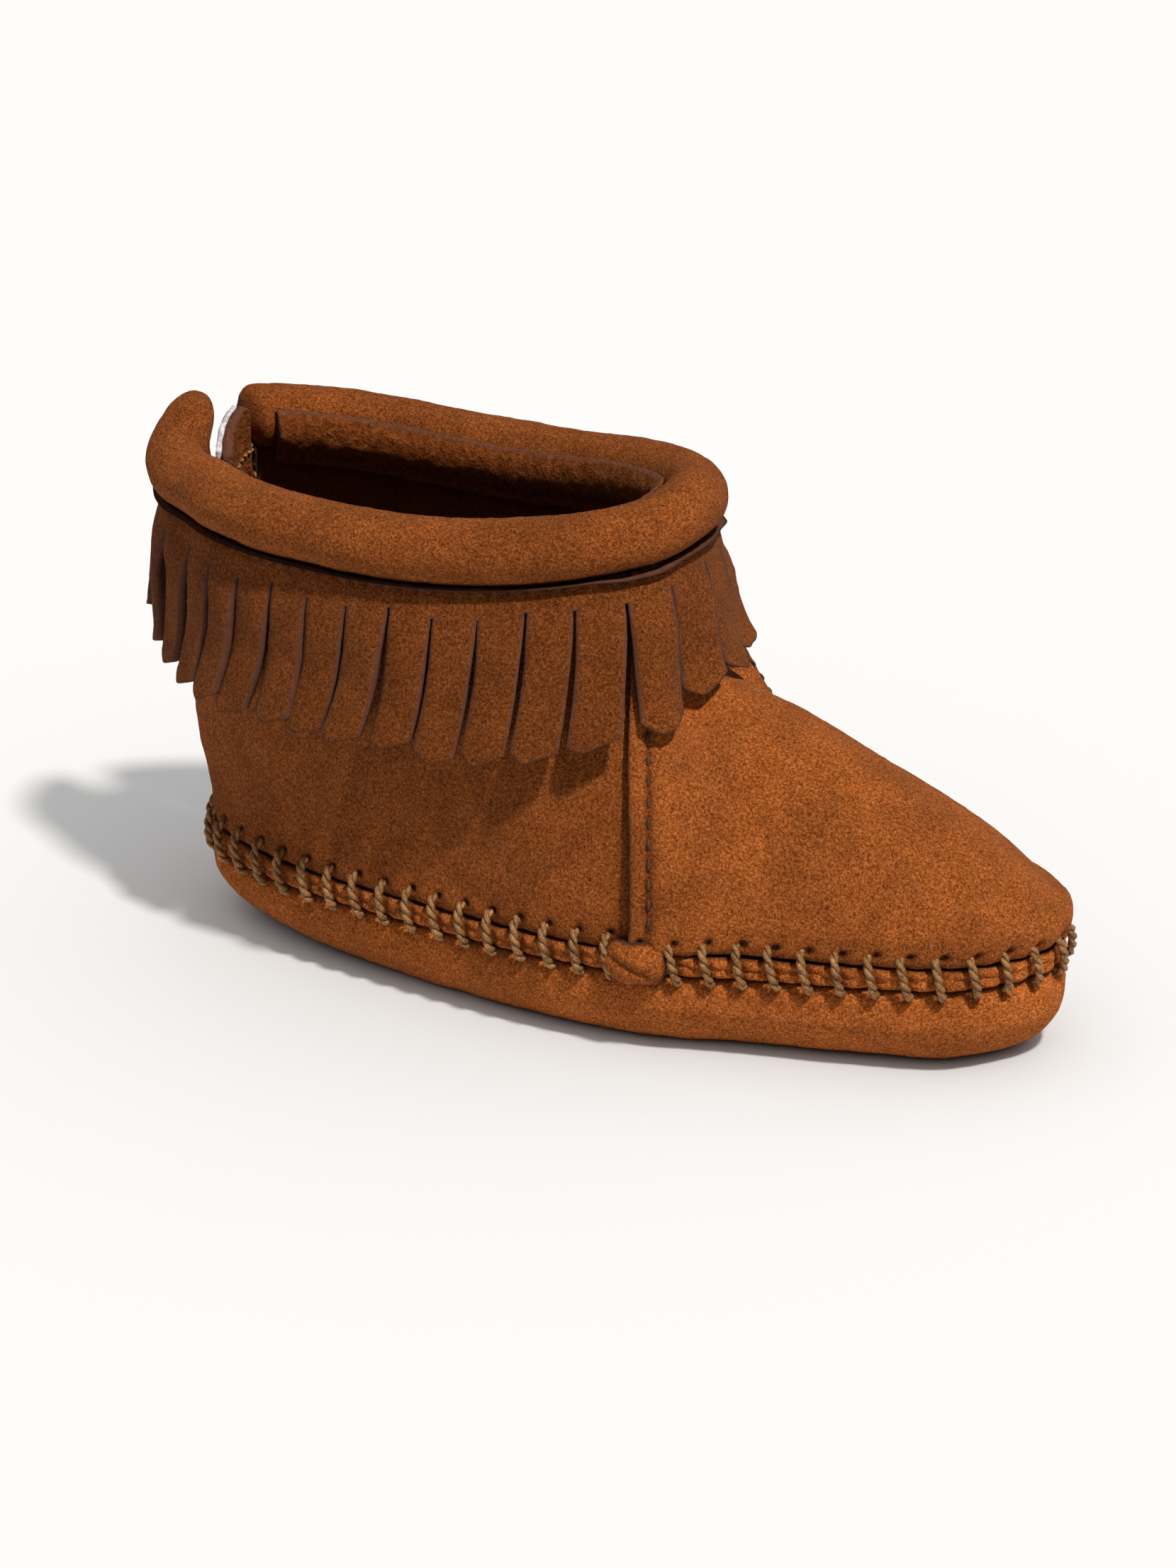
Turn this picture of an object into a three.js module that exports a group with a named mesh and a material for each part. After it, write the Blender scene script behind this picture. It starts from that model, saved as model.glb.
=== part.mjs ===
import * as THREE from 'three';

// Infant's soft suede bootie, for the right foot. Millimetres, +X to the toe, +Z up.
// The origin is on the ground, under the middle of the shoe.

// ---------------------------------------------------------------- driving dimensions
const SUEDE = 1.3;              // thickness of the upper leather
const GAP = 0.3;                // clearance between pieces that touch
const SEAM_HALF_LENGTH = 61.2;  // half the length of the sole seam
const TOE_INFLARE = 3.0;        // how far the toe leans to the inner side of the foot
const SEAM_Z_HEEL = 13.6;       // height of the upper's lower edge at the heel
const SEAM_Z_RISE = 2.2;        // extra height of that edge at the toe
const SIDE_SEAM = 6;            // outline station of the side seam
const TOE = 10;                 // outline station of the toe tip
const TOE_BLEND = 1.6;          // stations over which the sides' shape gives way to the toe's
const INNER_LEAD = 0.5;         // on the inner side it does so this many stations sooner
const UNDERLAP_END = 6.3;       // station where a quarter ends, under the vamp
// Sole seam outline from heel to toe: position along the shoe, half width there.
const OUTLINE = [
  [-61.6, 0], [-57.6, 10.9], [-46.5, 16.9], [-33.5, 19.6], [-18.8, 21.3], [-4, 22.7],
  [11.5, 22.2], [26.5, 18.8], [41, 16.0], [53.5, 11.6], [60.8, 0],
];

const COLLAR_X = -27.8;         // middle of the ankle opening
const COLLAR_HALF_LENGTH = 36.9;
const COLLAR_HALF_WIDTH = 20.4;
const COLLAR_Z = 61;            // mean height of the collar's stitch line
const COLLAR_TILT = 0.4;        // the front stands this much above the mean
const COLLAR_DIP = 1.7;         // the sides dip by this much
const NEAR_SAG = 0.8;           // the outer side hangs lower than the inner side
const OVERLAP_SAG = 3.5;        // and lower still before it rises to the overlap's tip
const COLLAR_FAR_DIP = 0.9;     // the inner side dips this much further
const SIDE_SEAM_ANGLE = 152;    // where the side seam meets the collar, degrees from the heel

const ROLL_RADIUS = 4.4;        // padded roll round the ankle
const ROLL_TIP_RADIUS = 4.0;    // thinner at its free tip
const ROLL_SKIN = 1.2;
const ROLL_GAP = 0.3;           // stitch line to the underside of the roll
const TIP_RISE = 1.8;           // the tip of the overlap is drawn up by this much
const ROLL_INSET = 0.9;         // roll centre inside the wall's outer face

// The back opening: angles round the collar, degrees from the heel, minus is the inner side.
const TIP_ANGLE = -9;           // free edge of the outer overlap
const HINGE_ANGLE = 48;         // line the overlap folds about
const FLAP_SEAM_ANGLE = -22;    // stitched seam the inner flap swings about
const FLAP_END_ANGLE = 23;      // free edge of the inner flap
const SLIT_T = 0.5;             // bottom of the opening, as a share of the wall's height
const OVERLAP_LIFT = 1.9;       // the overlap stands this far outside the heel
const OVERLAP_ROLL_LIFT = 1.7;  // and its roll this much further
const FLAP_DEPTH = 2.0;         // the inner flap lies this far inside the heel's outer face
const FLAP_TOP = 1.16;          // top of the inner flap, as a share of the wall's height
const FLAP_EAR = 0.2;           // how much further it stands up beside its seam
const TAPE = 0.8;               // thickness of the hook tape and of the loop tape

const FRINGE_BAND = 3.0;        // uncut band above the strips
const FRINGE_LENGTH = 22.2;     // stitch line to tip
const FRINGE_PITCH = 6.1;
const FRINGE_SLIT = 0.35;
const FRINGE_SKIN = 1.2;

const STITCH_PITCH = 4.35;      // whip stitches round the sole seam
const STITCH_WIDTH = 1.5;
const STITCH_LENGTH = 6.4;
const WELT_HEIGHT = 2.7;
const SOLE_SKIN = 1.5;

// ---------------------------------------------------------------- curves and surfaces
const rad = THREE.MathUtils.degToRad;
const lerp = THREE.MathUtils.lerp;
const smooth = (x) => THREE.MathUtils.smoothstep(x, 0, 1);

// Smooth curve through equally spaced values, read at position u.
function through(values, u) {
  const last = values.length - 1;
  const i = Math.min(Math.max(Math.floor(u), 0), last - 1);
  const f = u - i;
  const b = values[i];
  const c = values[i + 1];
  const a = i > 0 ? values[i - 1] : 2 * b - c;
  const d = i + 2 <= last ? values[i + 2] : 2 * c - b;
  return b + 0.5 * f * (c - a + f * (2 * a - 5 * b + 4 * c - d + f * (3 * (b - c) + d - a)));
}

// A station runs 0 at the heel, 10 at the toe and 20 at the heel again, near side first.
// fold() gives the matching near-side station and the side it is on.
function fold(s) {
  const around = ((s % 20) + 20) % 20;
  return around <= TOE ? { k: around, side: -1 } : { k: 20 - around, side: 1 };
}

// The outline continued past both ends, so it closes smoothly at heel and toe.
const OUTLINE_X = [OUTLINE[1][0], ...OUTLINE.map((p) => p[0]), OUTLINE[9][0]];
const OUTLINE_W = [-OUTLINE[1][1], ...OUTLINE.map((p) => p[1]), -OUTLINE[9][1]];

function seamPoint(s) {
  const { k, side } = fold(s);
  const x = through(OUTLINE_X, k + 1);
  const w = through(OUTLINE_W, k + 1);
  const lean = TOE_INFLARE * smooth(x / SEAM_HALF_LENGTH);
  const along = (x + SEAM_HALF_LENGTH) / (2 * SEAM_HALF_LENGTH);
  return new THREE.Vector3(x, side * w + lean, SEAM_Z_HEEL + SEAM_Z_RISE * along * along);
}

// Outward direction of the sole seam, level with the ground.
function seamNormal(s) {
  const d = seamPoint(s + 0.05).sub(seamPoint(s - 0.05));
  return new THREE.Vector3(d.y, -d.x, 0).normalize();
}

// Collar angle in degrees, 0 at the heel, 180 at the front, for a station, and back.
function angleOf(s) {
  const { k, side } = fold(s);
  const front = (180 - SIDE_SEAM_ANGLE) / (TOE - SIDE_SEAM);
  const angle = k <= SIDE_SEAM
    ? (k * SIDE_SEAM_ANGLE) / SIDE_SEAM
    : SIDE_SEAM_ANGLE + (k - SIDE_SEAM) * front;
  return side < 0 ? angle : 360 - angle;
}

function stationOf(angle) {
  const a = ((angle % 360) + 360) % 360;
  const near = a <= 180 ? a : 360 - a;
  const k = near <= SIDE_SEAM_ANGLE
    ? (near * SIDE_SEAM) / SIDE_SEAM_ANGLE
    : SIDE_SEAM + ((near - SIDE_SEAM_ANGLE) * (TOE - SIDE_SEAM)) / (180 - SIDE_SEAM_ANGLE);
  return a <= 180 ? k : 20 - k;
}

function collarPoint(angle) {
  const a = rad(angle);
  const around = ((angle % 360) + 360) % 360;
  const near = around < 180 ? around : around - 360;
  const sag = NEAR_SAG * smooth(Math.sin(a) / 0.4)
    + OVERLAP_SAG * smooth((88 - near) / 75) * smooth((near + 12) / 32);
  const farDip = COLLAR_FAR_DIP * smooth(1 - Math.abs(around - 268) / 45);
  return new THREE.Vector3(
    COLLAR_X - COLLAR_HALF_LENGTH * Math.cos(a),
    -COLLAR_HALF_WIDTH * Math.sin(a),
    COLLAR_Z - COLLAR_TILT * Math.cos(a) + COLLAR_DIP * Math.cos(2 * a) - farDip - sag,
  );
}

function collarNormal(angle) {
  const a = rad(angle);
  return new THREE.Vector3(
    -COLLAR_HALF_WIDTH * Math.cos(a), -COLLAR_HALF_LENGTH * Math.sin(a), 0,
  ).normalize();
}

// How the wall climbs from seam (0) to collar (1): share of the way in, share of the height,
// at eleven equal steps up the leather.
const TOE_IN = [0, -0.03, 0.03, 0.125, 0.28, 0.475, 0.67, 0.85, 0.96, 0.99, 1];
const TOE_UP = [0, 0.08, 0.12, 0.2, 0.295, 0.395, 0.495, 0.573, 0.655, 0.80, 1];
const SIDE_IN = [0, -0.03, 0.0, 0.06, 0.17, 0.31, 0.47, 0.64, 0.79, 0.91, 1];
const HEEL_IN = [0, 0.25, 0.42, 0.55, 0.65, 0.74, 0.81, 0.88, 0.93, 0.97, 1];
const SIDE_UP = [0, 0.1, 0.2, 0.3, 0.4, 0.5, 0.6, 0.7, 0.8, 0.9, 1];

function wallPoint(s, t) {
  const { k, side: which } = fold(s);
  const top = collarPoint(angleOf(s));
  if (t > 1) return top.setZ(top.z + (t - 1) * (COLLAR_Z - SEAM_Z_HEEL));
  const foot = seamPoint(s);
  const lead = which > 0 ? INNER_LEAD * smooth((TOE - k) / 1.5) : 0;
  const toeShare = smooth((k - SIDE_SEAM + lead) / TOE_BLEND);
  const side = lerp(through(HEEL_IN, t * 10), through(SIDE_IN, t * 10), smooth(k / 5));
  const inward = lerp(side, through(TOE_IN, t * 10), toeShare);
  const upward = lerp(through(SIDE_UP, t * 10), through(TOE_UP, t * 10), toeShare);
  return new THREE.Vector3(
    lerp(foot.x, top.x, inward), lerp(foot.y, top.y, inward), lerp(foot.z, top.z, upward),
  );
}

// Point of the upper's leather at a depth below its outer face.
function upper(s, t, depth) {
  const ds = wallPoint(s + 0.04, t).sub(wallPoint(s - 0.04, t));
  const low = Math.min(Math.max(t - 0.02, 0), 0.94);
  const dt = wallPoint(s, low + 0.04).sub(wallPoint(s, low));
  const normal = ds.cross(dt).normalize();
  return wallPoint(s, t).addScaledVector(normal, -depth);
}

// ---------------------------------------------------------------- closed solids
const span = (a, b, n) => Array.from({ length: n + 1 }, (_, i) => a + ((b - a) * i) / n);

// A sheet with thickness. place(u, v, face) gives the outer (0) or inner (1) point.
// has(i, j) says which cells are leather; ring closes the sheet along u, pipe along v.
function sheet(us, vs, place, { has = () => true, ring = false, pipe = false } = {}) {
  const nu = ring ? us.length : us.length - 1;
  const nv = pipe ? vs.length : vs.length - 1;
  const positions = [];
  const index = [];
  const seen = new Map();
  const vertex = (i, j, face) => {
    const a = i % us.length;
    const b = j % vs.length;
    const key = `${a},${b},${face}`;
    if (!seen.has(key)) {
      seen.set(key, positions.length / 3);
      positions.push(...place(us[a], vs[b], face).toArray());
    }
    return seen.get(key);
  };
  const solid = (i, j) => {
    const a = ring ? (i + nu) % nu : i;
    const b = pipe ? (j + nv) % nv : j;
    return a >= 0 && a < nu && b >= 0 && b < nv && has(a, b);
  };
  const quad = (a, b, c, d) => index.push(a, b, c, a, c, d);
  for (let i = 0; i < nu; i += 1) {
    for (let j = 0; j < nv; j += 1) {
      if (!solid(i, j)) continue;
      const corners = [[i, j], [i + 1, j], [i + 1, j + 1], [i, j + 1]];
      const [a, b, c, d] = corners.map(([p, q]) => vertex(p, q, 0));
      const [e, f, g, h] = corners.map(([p, q]) => vertex(p, q, 1));
      quad(a, b, c, d);
      quad(h, g, f, e);
      if (!solid(i, j - 1)) quad(e, f, b, a);
      if (!solid(i + 1, j)) quad(f, g, c, b);
      if (!solid(i, j + 1)) quad(g, h, d, c);
      if (!solid(i - 1, j)) quad(h, e, a, d);
    }
  }
  const geometry = new THREE.BufferGeometry();
  geometry.setAttribute('position', new THREE.Float32BufferAttribute(positions, 3));
  geometry.setIndex(index);
  geometry.computeVertexNormals();
  return geometry;
}

// A round solid bar along us, with flat ends. centre, outward and radius at u give its skin.
function rod(us, sides, centre, outward, radius) {
  const positions = [];
  const index = [];
  us.forEach((u) => {
    for (let j = 0; j < sides; j += 1) {
      const a = (2 * Math.PI * j) / sides;
      const p = centre(u).addScaledVector(outward(u), radius(u) * Math.cos(a));
      positions.push(p.x, p.y, p.z + radius(u) * Math.sin(a));
    }
  });
  const last = us.length - 1;
  for (let i = 0; i < last; i += 1) {
    for (let j = 0; j < sides; j += 1) {
      const a = i * sides + j;
      const b = i * sides + ((j + 1) % sides);
      index.push(a, a + sides, b + sides, a, b + sides, b);
    }
  }
  for (let j = 1; j < sides - 1; j += 1) {
    index.push(0, j, j + 1);
    index.push(last * sides, last * sides + j + 1, last * sides + j);
  }
  const geometry = new THREE.BufferGeometry();
  geometry.setAttribute('position', new THREE.Float32BufferAttribute(positions, 3));
  geometry.setIndex(index);
  geometry.computeVertexNormals();
  return geometry;
}

// A plate or cup round the foot: rings of [offset from the seam outline, height],
// starting and ending at a point on the middle line.
function cup(stations, start, rings, end) {
  const n = stations.length;
  const positions = [...start];
  const index = [];
  rings.forEach(([offset, height]) => {
    stations.forEach((s) => {
      const p = seamPoint(s).addScaledVector(seamNormal(s), offset);
      positions.push(p.x, p.y, height(p));
    });
  });
  positions.push(...end);
  const lastPoint = positions.length / 3 - 1;
  for (let i = 0; i < n; i += 1) {
    const j = (i + 1) % n;
    index.push(0, 1 + j, 1 + i);
    for (let r = 0; r < rings.length - 1; r += 1) {
      const low = 1 + r * n;
      const high = low + n;
      index.push(low + i, low + j, high + j, low + i, high + j, high + i);
    }
    const top = 1 + (rings.length - 1) * n;
    index.push(top + i, top + j, lastPoint);
  }
  const geometry = new THREE.BufferGeometry();
  geometry.setAttribute('position', new THREE.Float32BufferAttribute(positions, 3));
  geometry.setIndex(index);
  geometry.computeVertexNormals();
  return geometry;
}

// ---------------------------------------------------------------- the sole and its seam
const RING_STATIONS = span(0, 20, 40).slice(0, 40);
const seamZ = (p) => {
  const along = (p.x + SEAM_HALF_LENGTH) / (2 * SEAM_HALF_LENGTH);
  return SEAM_Z_HEEL + SEAM_Z_RISE * along * along;
};

function soleBottom() {
  const rim = (p) => seamZ(p) - WELT_HEIGHT - 2 * GAP;
  return cup(
    RING_STATIONS,
    [0, 0, 0],
    [
      [-6.0, () => 0], [-3.2, () => 0.7], [-0.9, () => 2.6], [0.7, () => 6.5], [-0.2, rim],
      [-0.2 - SOLE_SKIN, rim], [0.7 - SOLE_SKIN, () => 6.5], [-2.4, () => 3.6],
      [-4.2, () => 2.1], [-6.2, () => SOLE_SKIN],
    ],
    [0, 0, SOLE_SKIN],
  );
}

function insolePad() {
  const low = () => SOLE_SKIN + GAP;
  const high = () => 4.0;
  return cup(RING_STATIONS, [0, 0, low()], [[-6.8, low], [-4.6, () => 2.8], [-4.6, high]],
    [0, 0, high()]);
}

function sockLiner() {
  const low = () => 4.0 + GAP;
  const high = () => 5.1;
  return cup(RING_STATIONS, [0, 0, low()], [[-3.2, low], [-3.2, high]], [0, 0, high()]);
}

function weltStrip() {
  const place = (s, v, face) => {
    const p = seamPoint(s);
    p.z -= GAP + (1 - v) * WELT_HEIGHT;
    const bulge = face === 0 ? 0.7 : -1.1;
    return p.addScaledVector(seamNormal(s), bulge);
  };
  return sheet(RING_STATIONS, [0, 1], place, { ring: true });
}

// Stations spaced evenly along the outline.
function evenStations(pitch) {
  const fine = span(0, 20, 800);
  const lengths = [0];
  fine.slice(1).forEach((s, i) => {
    lengths.push(lengths[i] + seamPoint(s).distanceTo(seamPoint(fine[i])));
  });
  const total = lengths[800];
  const count = Math.round(total / pitch);
  return Array.from({ length: count }, (_, n) => {
    const wanted = (total * (n + 0.5)) / count;
    const i = lengths.findIndex((length) => length >= wanted);
    return { s: fine[i], width: (STITCH_WIDTH / total) * 20 * (total / count / pitch) };
  });
}

// One thread: a cord in the seam with a stitch over the welt at every step.
function whipStitchThread() {
  const steps = evenStations(STITCH_PITCH);
  const perStation = (s) => seamPoint(s + 0.05).distanceTo(seamPoint(s - 0.05)) / 0.1;
  const edges = steps.flatMap(({ s }) => {
    const half = STITCH_WIDTH / 2 / perStation(s);
    return [s - half, s + half];
  });
  const underTab = (s) => Math.abs(fold(s).k - SIDE_SEAM) < 0.3;
  const heights = [-STITCH_LENGTH / 2, -0.35, 0.35, STITCH_LENGTH / 2];
  const place = (s, h, face) => {
    const p = seamPoint(s);
    p.z += h - GAP - WELT_HEIGHT / 2;
    return p.addScaledVector(seamNormal(s), 0.7 + GAP + (face === 0 ? 0.9 : 0));
  };
  const has = (i, j) => j === 1 || (i % 2 === 0 && !underTab(edges[i]));
  return sheet(edges, heights, place, { ring: true, has });
}

// ---------------------------------------------------------------- the upper
// The overlap's lift outside the heel at a collar angle and height.
function overlapLift(angle, t) {
  const near = smooth((HINGE_ANGLE - 12 - angle) / 28);
  const rollShare = smooth((t - 0.78) / 0.2);
  return near * (OVERLAP_LIFT * smooth(t / 0.35) + OVERLAP_ROLL_LIFT * rollShare);
}

const signed = (angle) => (angle > 180 ? angle - 360 : angle);

// How far the overlap's top edge is drawn up towards its tip.
const tipRise = (angle) => TIP_RISE * smooth((10 - angle) / 19);

// The vamp laps over the quarters: how far its edge stands proud, and how far they dip under it.
const vampProud = (k) => 0.9 * (1 - smooth((k - UNDERLAP_END) / 0.5));
const quarterDip = (k) => 0.75 * smooth((k - SIDE_SEAM + 0.35) / 0.3);

function vamp() {
  const half = [SIDE_SEAM, 6.2, UNDERLAP_END + 0.02, 6.65, 6.9, 7.3, 7.8, 8.3, 8.8, 9.3, 9.7];
  const columns = [...half, TOE, ...half.map((k) => 20 - k).reverse()];
  const place = (s, t, face) => upper(s, t, face * SUEDE - vampProud(fold(s).k));
  return sheet(columns, span(0, 1, 10), place);
}

// The quarters dip under the vamp's edge, and the overlap lifts outside the heel.
function quarterPlace(s, t, face) {
  const { k, side } = fold(s);
  const onOverlap = side < 0 || k < 0.6;
  const angle = signed(angleOf(s));
  const lift = onOverlap ? overlapLift(angle, t) : 0;
  const point = upper(s, t, face * SUEDE + quarterDip(k) - lift);
  if (onOverlap) point.z += tipRise(angle) * smooth((t - 0.8) / 0.2);
  return point;
}

// Station of an angle, counted down past zero on the inner side of the heel.
const heelStation = (angle) => (angle < 0 ? stationOf(angle) - 20 : stationOf(angle));
const TIP = heelStation(TIP_ANGLE);
const HINGE = stationOf(HINGE_ANGLE);
const SPLIT = 0.02;             // half a cut between two pieces, in stations

function quarterRight() {
  const front = [5.64, 5.8, 5.95, UNDERLAP_END];
  const columns = [...span(TIP, HINGE + SPLIT, 5), 2.5, 3.1, 3.7, 4.3, 4.9, ...front];
  const rows = span(0, 1, 8);
  rows[4] = SLIT_T - 0.008;
  return sheet(columns, rows, quarterPlace, { has: (i, j) => i >= 5 || j < 4 });
}

function quarterRightEnd() {
  return sheet(span(TIP, HINGE - SPLIT, 5), span(SLIT_T, 1, 5), quarterPlace);
}

function quarterLeft() {
  const front = [UNDERLAP_END, 5.95, 5.8, 5.64].map((k) => 20 - k);
  const columns = [...front, ...span(15.1, stationOf(FLAP_SEAM_ANGLE) - SPLIT, 7)];
  return sheet(columns, span(0, 1, 8), quarterPlace);
}

// The panel behind the heel: it starts level with the far quarter and passes inside the overlap.
function flapDepth(angle, t) {
  const inside = smooth((angle - FLAP_SEAM_ANGLE) / 11);
  const low = 1.6 + (FLAP_DEPTH - 1.6) * smooth(t / 0.35);
  return inside * (low + 2.0 * smooth((t - 0.85) / 0.13));
}

// Above the stitch line the flap stands higher beside its seam.
function flapHeight(angle, t) {
  const ear = 1 + FLAP_EAR * smooth((-8 - angle) / 12);
  return t > 1 ? 1 + (t - 1) * ear : t;
}

function flapSheet(t0, t1, rows) {
  const place = (angle, t, face) => {
    const s = heelStation(angle);
    return upper(s, flapHeight(angle, t), flapDepth(angle, t) + face * SUEDE);
  };
  return sheet(span(FLAP_SEAM_ANGLE + 0.5, FLAP_END_ANGLE, 9), span(t0, t1, rows), place);
}

const LOOP_ANGLES = [-7, 18];
const HOOK_ANGLES = [-7, 15];

function loopTape() {
  const place = (angle, t, face) => {
    const s = heelStation(angle);
    return upper(s, t, flapDepth(angle, t) - GAP - TAPE * (1 - face));
  };
  return sheet(span(...LOOP_ANGLES, 4), span(0.66, FLAP_TOP, 5), place);
}

function hookTape() {
  const place = (angle, t, face) => {
    const s = heelStation(angle);
    return upper(s, t, -overlapLift(angle, t) + SUEDE + GAP + (TAPE - 0.3) * face);
  };
  return sheet(span(...HOOK_ANGLES, 4), [0.62, 0.7, 0.8], place);
}

// A row of stitching along the top of the inner flap, on its inner face.
function flapStitch() {
  const place = (angle, t, face) => {
    const s = heelStation(angle);
    return upper(s, t, flapDepth(angle, t) + SUEDE + GAP + face * 0.5);
  };
  return sheet(span(FLAP_SEAM_ANGLE + 3, 16, 6), [1.02, 1.03], place);
}

// ---------------------------------------------------------------- the collar
function collarFrame(angle) {
  const a = signed(((angle % 360) + 360) % 360);
  const onOverlap = a > TIP_ANGLE - 1 && a < HINGE_ANGLE;
  const lift = onOverlap ? overlapLift(a, 1) : 0;
  const out = collarNormal(angle);
  const point = collarPoint(angle).addScaledVector(out, lift);
  return { point, out, rise: onOverlap ? tipRise(a) : 0 };
}

function rollRadius(angle) {
  const onOverlap = angle < HINGE_ANGLE;
  const thinning = onOverlap ? smooth((25 - angle) / 30) : 0;
  return lerp(ROLL_RADIUS, ROLL_TIP_RADIUS, thinning);
}

function rollCentre(angle) {
  const { point, out, rise } = collarFrame(angle);
  point.addScaledVector(out, -ROLL_INSET);
  point.z += ROLL_GAP + rollRadius(angle) + rise;
  return point;
}

const MAIN_ANGLES = [HINGE_ANGLE + 0.5, 360 + FLAP_SEAM_ANGLE - 0.5];
const END_ANGLES = [TIP_ANGLE, HINGE_ANGLE - 0.5];

function collarRoll([from, to], steps) {
  const place = (angle, turn, face) => {
    const radius = rollRadius(angle) - face * ROLL_SKIN;
    return rollCentre(angle)
      .addScaledVector(collarNormal(angle), radius * Math.cos(turn))
      .add(new THREE.Vector3(0, 0, radius * Math.sin(turn)));
  };
  const turns = span(0, 2 * Math.PI, 12).slice(0, 12);
  return sheet(span(from, to, steps), turns, place, { pipe: true });
}

function collarFiller([from, to], steps) {
  const radius = (angle) => rollRadius(angle) - ROLL_SKIN - GAP;
  return rod(span(from + 1, to - 1, steps), 8, rollCentre, collarNormal, radius);
}

// The collar leather's raw hem: a band hugging the inside of the roll and hanging below it.
const FACING_HEIGHTS = [-5.6, -4.2, -2.4, 0, 2.2];  // up from the middle of the roll
const FACING_END_ANGLE = 333;   // it stops short of the back flap's seam
const FACING_HANG = 3.0;        // its lower part hangs this far inside the middle of the roll

function collarFacing(from, to, steps) {
  const place = (angle, height, face) => {
    const thickness = face * SUEDE;
    const reach = rollRadius(angle) + GAP + thickness;
    const round = Math.sqrt(Math.max(reach * reach - height * height, 0));
    const inset = Math.max(round, FACING_HANG + thickness);
    const point = rollCentre(angle).addScaledVector(collarNormal(angle), -inset);
    point.z += height;
    return point;
  };
  return sheet(span(from, to, steps), FACING_HEIGHTS, place);
}

// How far the wall stands outside the collar line at a height, straight out from an angle.
function wallReach(angle, z) {
  const base = collarPoint(angle);
  const out = collarNormal(angle);
  const along = new THREE.Vector3(-out.y, out.x, 0);
  let s = heelStation(angle > 180 ? angle - 360 : angle);
  let p = base;
  for (let pass = 0; pass < 6; pass += 1) {
    let [low, high] = [0, 1];
    for (let i = 0; i < 24; i += 1) {
      const middle = (low + high) / 2;
      if (wallPoint(s, middle).z < z) low = middle; else high = middle;
    }
    p = wallPoint(s, low);
    const slope = wallPoint(s + 0.05, low).sub(wallPoint(s - 0.05, low)).dot(along) / 0.1;
    s -= THREE.MathUtils.clamp(p.clone().sub(base).dot(along) / slope, -0.6, 0.6);
  }
  return p.sub(base).dot(out);
}

// What hangs outside the side seam steps out over the vamp's edge.
function seamStep(angle) {
  const { k } = fold(stationOf(angle));
  return smooth((k - 5.5) / 0.4) * (1 - smooth((k - 6.8) / 1.5));
}

// A point of the fringe at a distance down from the stitch line: strips hang nearly straight,
// flare a little to their tips, and at the front lie forward over the instep.
function fringePoint(angle, down, face) {
  const { point, out, rise } = collarFrame(angle);
  const front = smooth((62 - Math.abs(((angle + 360) % 360) - 180)) / 45);
  const tip = down / FRINGE_LENGTH;
  const spread = lerp(0.6 * tip + 2.2 * tip * tip, 0.4 * tip + 0.6 * tip * tip, front);
  const flare = spread * lerp(1, 0.3, smooth((46 - angle) / 26));
  const drop = down * lerp(1, 0.8, front);
  const base = collarPoint(angle);
  const reach = wallReach(angle, base.z - drop) + lerp(1.2, 0.7, front) * smooth(down / 6) + seamStep(angle);
  const away = GAP + FRINGE_SKIN * (1 - face) + Math.max(flare, reach);
  point.z += rise * (1 - smooth(down / 8)) - drop;
  return point.addScaledVector(out, away);
}

function fringe([from, to]) {
  const fine = span(from, to, 600);
  const lengths = [0];
  fine.slice(1).forEach((angle, i) => {
    const step = collarPoint(angle).distanceTo(collarPoint(fine[i]));
    lengths.push(lengths[i] + step);
  });
  const total = lengths[600];
  const strips = Math.round(total / FRINGE_PITCH);
  const angleAt = (length) => {
    const i = Math.max(1, lengths.findIndex((l) => l >= length - 1e-9));
    const f = (length - lengths[i - 1]) / (lengths[i] - lengths[i - 1]);
    return lerp(fine[i - 1], fine[i], f);
  };
  const pitch = total / strips;
  const columns = [];
  const middles = new Set();
  for (let n = 0; n < strips; n += 1) {
    const left = n * pitch + (n > 0 ? FRINGE_SLIT / 2 : 0);
    const right = (n + 1) * pitch - (n < strips - 1 ? FRINGE_SLIT / 2 : 0);
    const middle = angleAt((left + right) / 2);
    columns.push(angleAt(left), middle, angleAt(right));
    middles.add(middle);
  }
  const rows = [0.2, FRINGE_BAND, 9.5, 16, FRINGE_LENGTH];
  const place = (angle, down, face) => {
    const blunt = down === FRINGE_LENGTH && !middles.has(angle);
    return fringePoint(angle, blunt ? down - 2.6 : down, face);
  };
  // Columns run near side first, which is the same way round as the stations;
  // rows run downwards, so the faces are swapped to keep the outside outside.
  const flipped = (angle, down, face) => place(angle, -down, face);
  const has = (i, j) => j === rows.length - 2 || i % 3 !== 2;
  return sheet(columns, rows.map((r) => -r).reverse(), flipped, { has });
}

// Stitching in the groove between the roll and the fringe.
function collarStitch([from, to], steps) {
  const place = (angle, height, face) => {
    const { point, out, rise } = collarFrame(angle);
    point.z += rise + height;
    const away = 2 * GAP + FRINGE_SKIN + 0.3 + seamStep(angle);
    return point.addScaledVector(out, away + (face === 0 ? 0.6 : 0));
  };
  return sheet(span(from, to, steps), [-0.5, 0.1], place);
}

// ---------------------------------------------------------------- the side seams
function vampStitch(side) {
  const s0 = side < 0 ? SIDE_SEAM + 0.12 : 20 - SIDE_SEAM - 0.15;
  const place = (s, t, face) => {
    return upper(s, t, -vampProud(fold(s).k) - GAP - 0.4 * (1 - face));
  };
  return sheet([s0, s0 + 0.03], span(0.1, 0.59, 6), place);
}

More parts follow.
